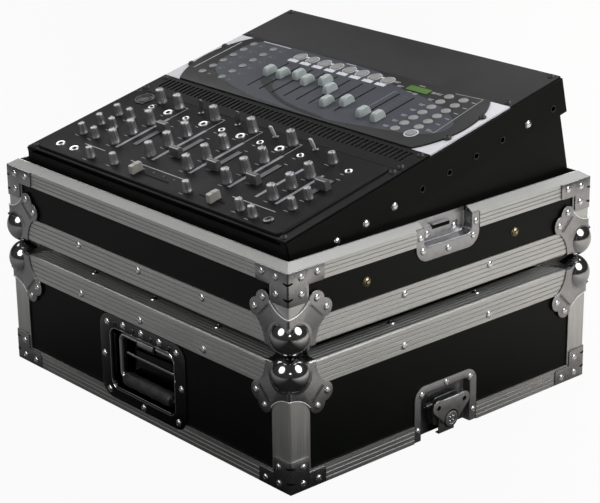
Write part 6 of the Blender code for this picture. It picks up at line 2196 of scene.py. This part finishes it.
def seen_white(look, settings):
    """White for the camera; for every other ray a floor that is dark in front and pale at the sides."""
    path = look.node("ShaderNodeLightPath", {}, {}, "Is Camera Ray")
    seen = path * settings.floor_white
    turn = math.radians(CAMERA_YAW)
    across = look.axis("X") * math.cos(turn) + look.axis("Y") * math.sin(turn)
    near, front = (settings.floor_left,) * 3, (settings.floor_front,) * 3
    left = look.blend(across.clipped(*FLOOR_LEFT_SPAN), near, front)
    pale = scaled(FLOOR_WARMTH, settings.floor_right)
    sides = look.blend(across.clipped(*FLOOR_RIGHT_SPAN), left, pale)
    glow = look.node("ShaderNodeEmission", {}, {"Color": (1, 1, 1, 1), "Strength": 1.0})
    diffuse = look.node("ShaderNodeBsdfDiffuse", {}, {"Color": sides})
    mixed = look.node("ShaderNodeMixShader", {}, {0: seen, 1: diffuse, 2: glow})
    out = look.tree.nodes["Material Output"]
    look.tree.links.new(mixed.socket, out.inputs["Surface"])
    look.tree.nodes.remove(look.shader)
    return look.material


class CASE_OT_stage(bpy.types.Operator):
    """Sets up the pale floor, the backdrop, the lamps and the camera"""

    bl_idname = "case.stage"
    bl_label = "Studio"

    def execute(self, context):
        scene = context.scene
        settings = scene.case_stage
        self.floor(settings)
        for name in LAMPS:
            lamp(name, getattr(settings, name))
        world = bpy.data.worlds.new("room")
        world.use_nodes = True
        glow = world.node_tree.nodes["Background"]
        glow.inputs["Color"].default_value = (1, 1, 1, 1)
        glow.inputs["Strength"].default_value = settings.surround
        scene.world = world
        scene.view_settings.view_transform = "Standard"
        data = bpy.data.cameras.new("view")
        data.lens = settings.lens
        data.sensor_width = SENSOR_WIDTH
        camera = bpy.data.objects.new("view", data)
        scene.collection.objects.link(camera)
        camera.matrix_world = Matrix(camera_turn().tolist())
        scene.camera = camera
        return {"FINISHED"}

    def floor(self, settings):
        """Floor that sweeps up behind the object: a section carried across."""
        x = np.array([-SWEEP_REACH, SWEEP_REACH])
        start, radius = SWEEP_BEND
        bend = np.linspace(0, math.pi / 2, 13)
        along = np.concatenate([x[:1], start + radius * np.sin(bend), [start + radius]])
        height = np.concatenate([[0.0], radius * (1 - np.cos(bend)), [SWEEP_TOP]])
        turn = math.radians(CAMERA_YAW)
        grid_x, grid_y = np.meshgrid(x, along)
        wide = grid_x * math.cos(turn) - grid_y * math.sin(turn)
        deep = grid_x * math.sin(turn) + grid_y * math.cos(turn)
        rise = np.broadcast_to(height[:, None], wide.shape)
        points, faces = skin(np.stack([wide, deep, rise], axis=-1), False, False, False)
        mesh = bpy.data.meshes.new("sweep")
        mesh.from_pydata(points.tolist(), [], faces)
        mesh.shade_smooth()
        mesh.materials.append(seen_white(Finish("pale_sweep"), settings))
        made = bpy.data.objects.new("sweep", mesh)
        bpy.context.scene.collection.objects.link(made)
        made.location.z = -FLOOR_DROP


OPERATORS = (
    CASE_OT_solids,
    CASE_OT_edging_rivets,
    CASE_OT_ball_corners,
    CASE_OT_braces,
    CASE_OT_keepers,
    CASE_OT_latches,
    CASE_OT_handle,
    CASE_OT_fasteners,
    CASE_OT_desk_print,
    CASE_OT_desk_keys,
    CASE_OT_sliders,
    CASE_OT_mixer_controls,
    CASE_OT_mixer_print,
    CASE_OT_stage,
)


class CASE_PT_looks(bpy.types.Panel):
    """Lists the settings and the steps"""

    bl_idname = "CASE_PT_looks"
    bl_label = "Flight case"
    bl_space_type = "VIEW_3D"
    bl_region_type = "UI"
    bl_category = "Flight case"

    def draw(self, context):
        """Settings in boxes, then a button for each step."""
        for group in (context.scene.case_sizes, context.scene.case_colours, context.scene.case_stage):
            box = self.layout.box()
            for name in group.__annotations__:
                box.prop(group, name)
        for step in OPERATORS:
            self.layout.operator(step.bl_idname)


GROUPS = {
    "case_sizes": CASE_PG_sizes,
    "case_colours": CASE_PG_colours,
    "case_stage": CASE_PG_stage,
}


def register():
    """Adds the settings, the steps and their panel."""
    for name, group in GROUPS.items():
        bpy.utils.register_class(group)
        setattr(bpy.types.Scene, name, bpy.props.PointerProperty(type=group))
    for step in (*OPERATORS, CASE_PT_looks):
        bpy.utils.register_class(step)


def unregister():
    """Takes them away again."""
    for step in (CASE_PT_looks, *reversed(OPERATORS)):
        bpy.utils.unregister_class(step)
    for name, group in GROUPS.items():
        delattr(bpy.types.Scene, name)
        bpy.utils.unregister_class(group)


def main():
    register()
    for step in OPERATORS:
        group, name = step.bl_idname.split(".")
        getattr(getattr(bpy.ops, group), name)()


if __name__ == "__main__":
    main()
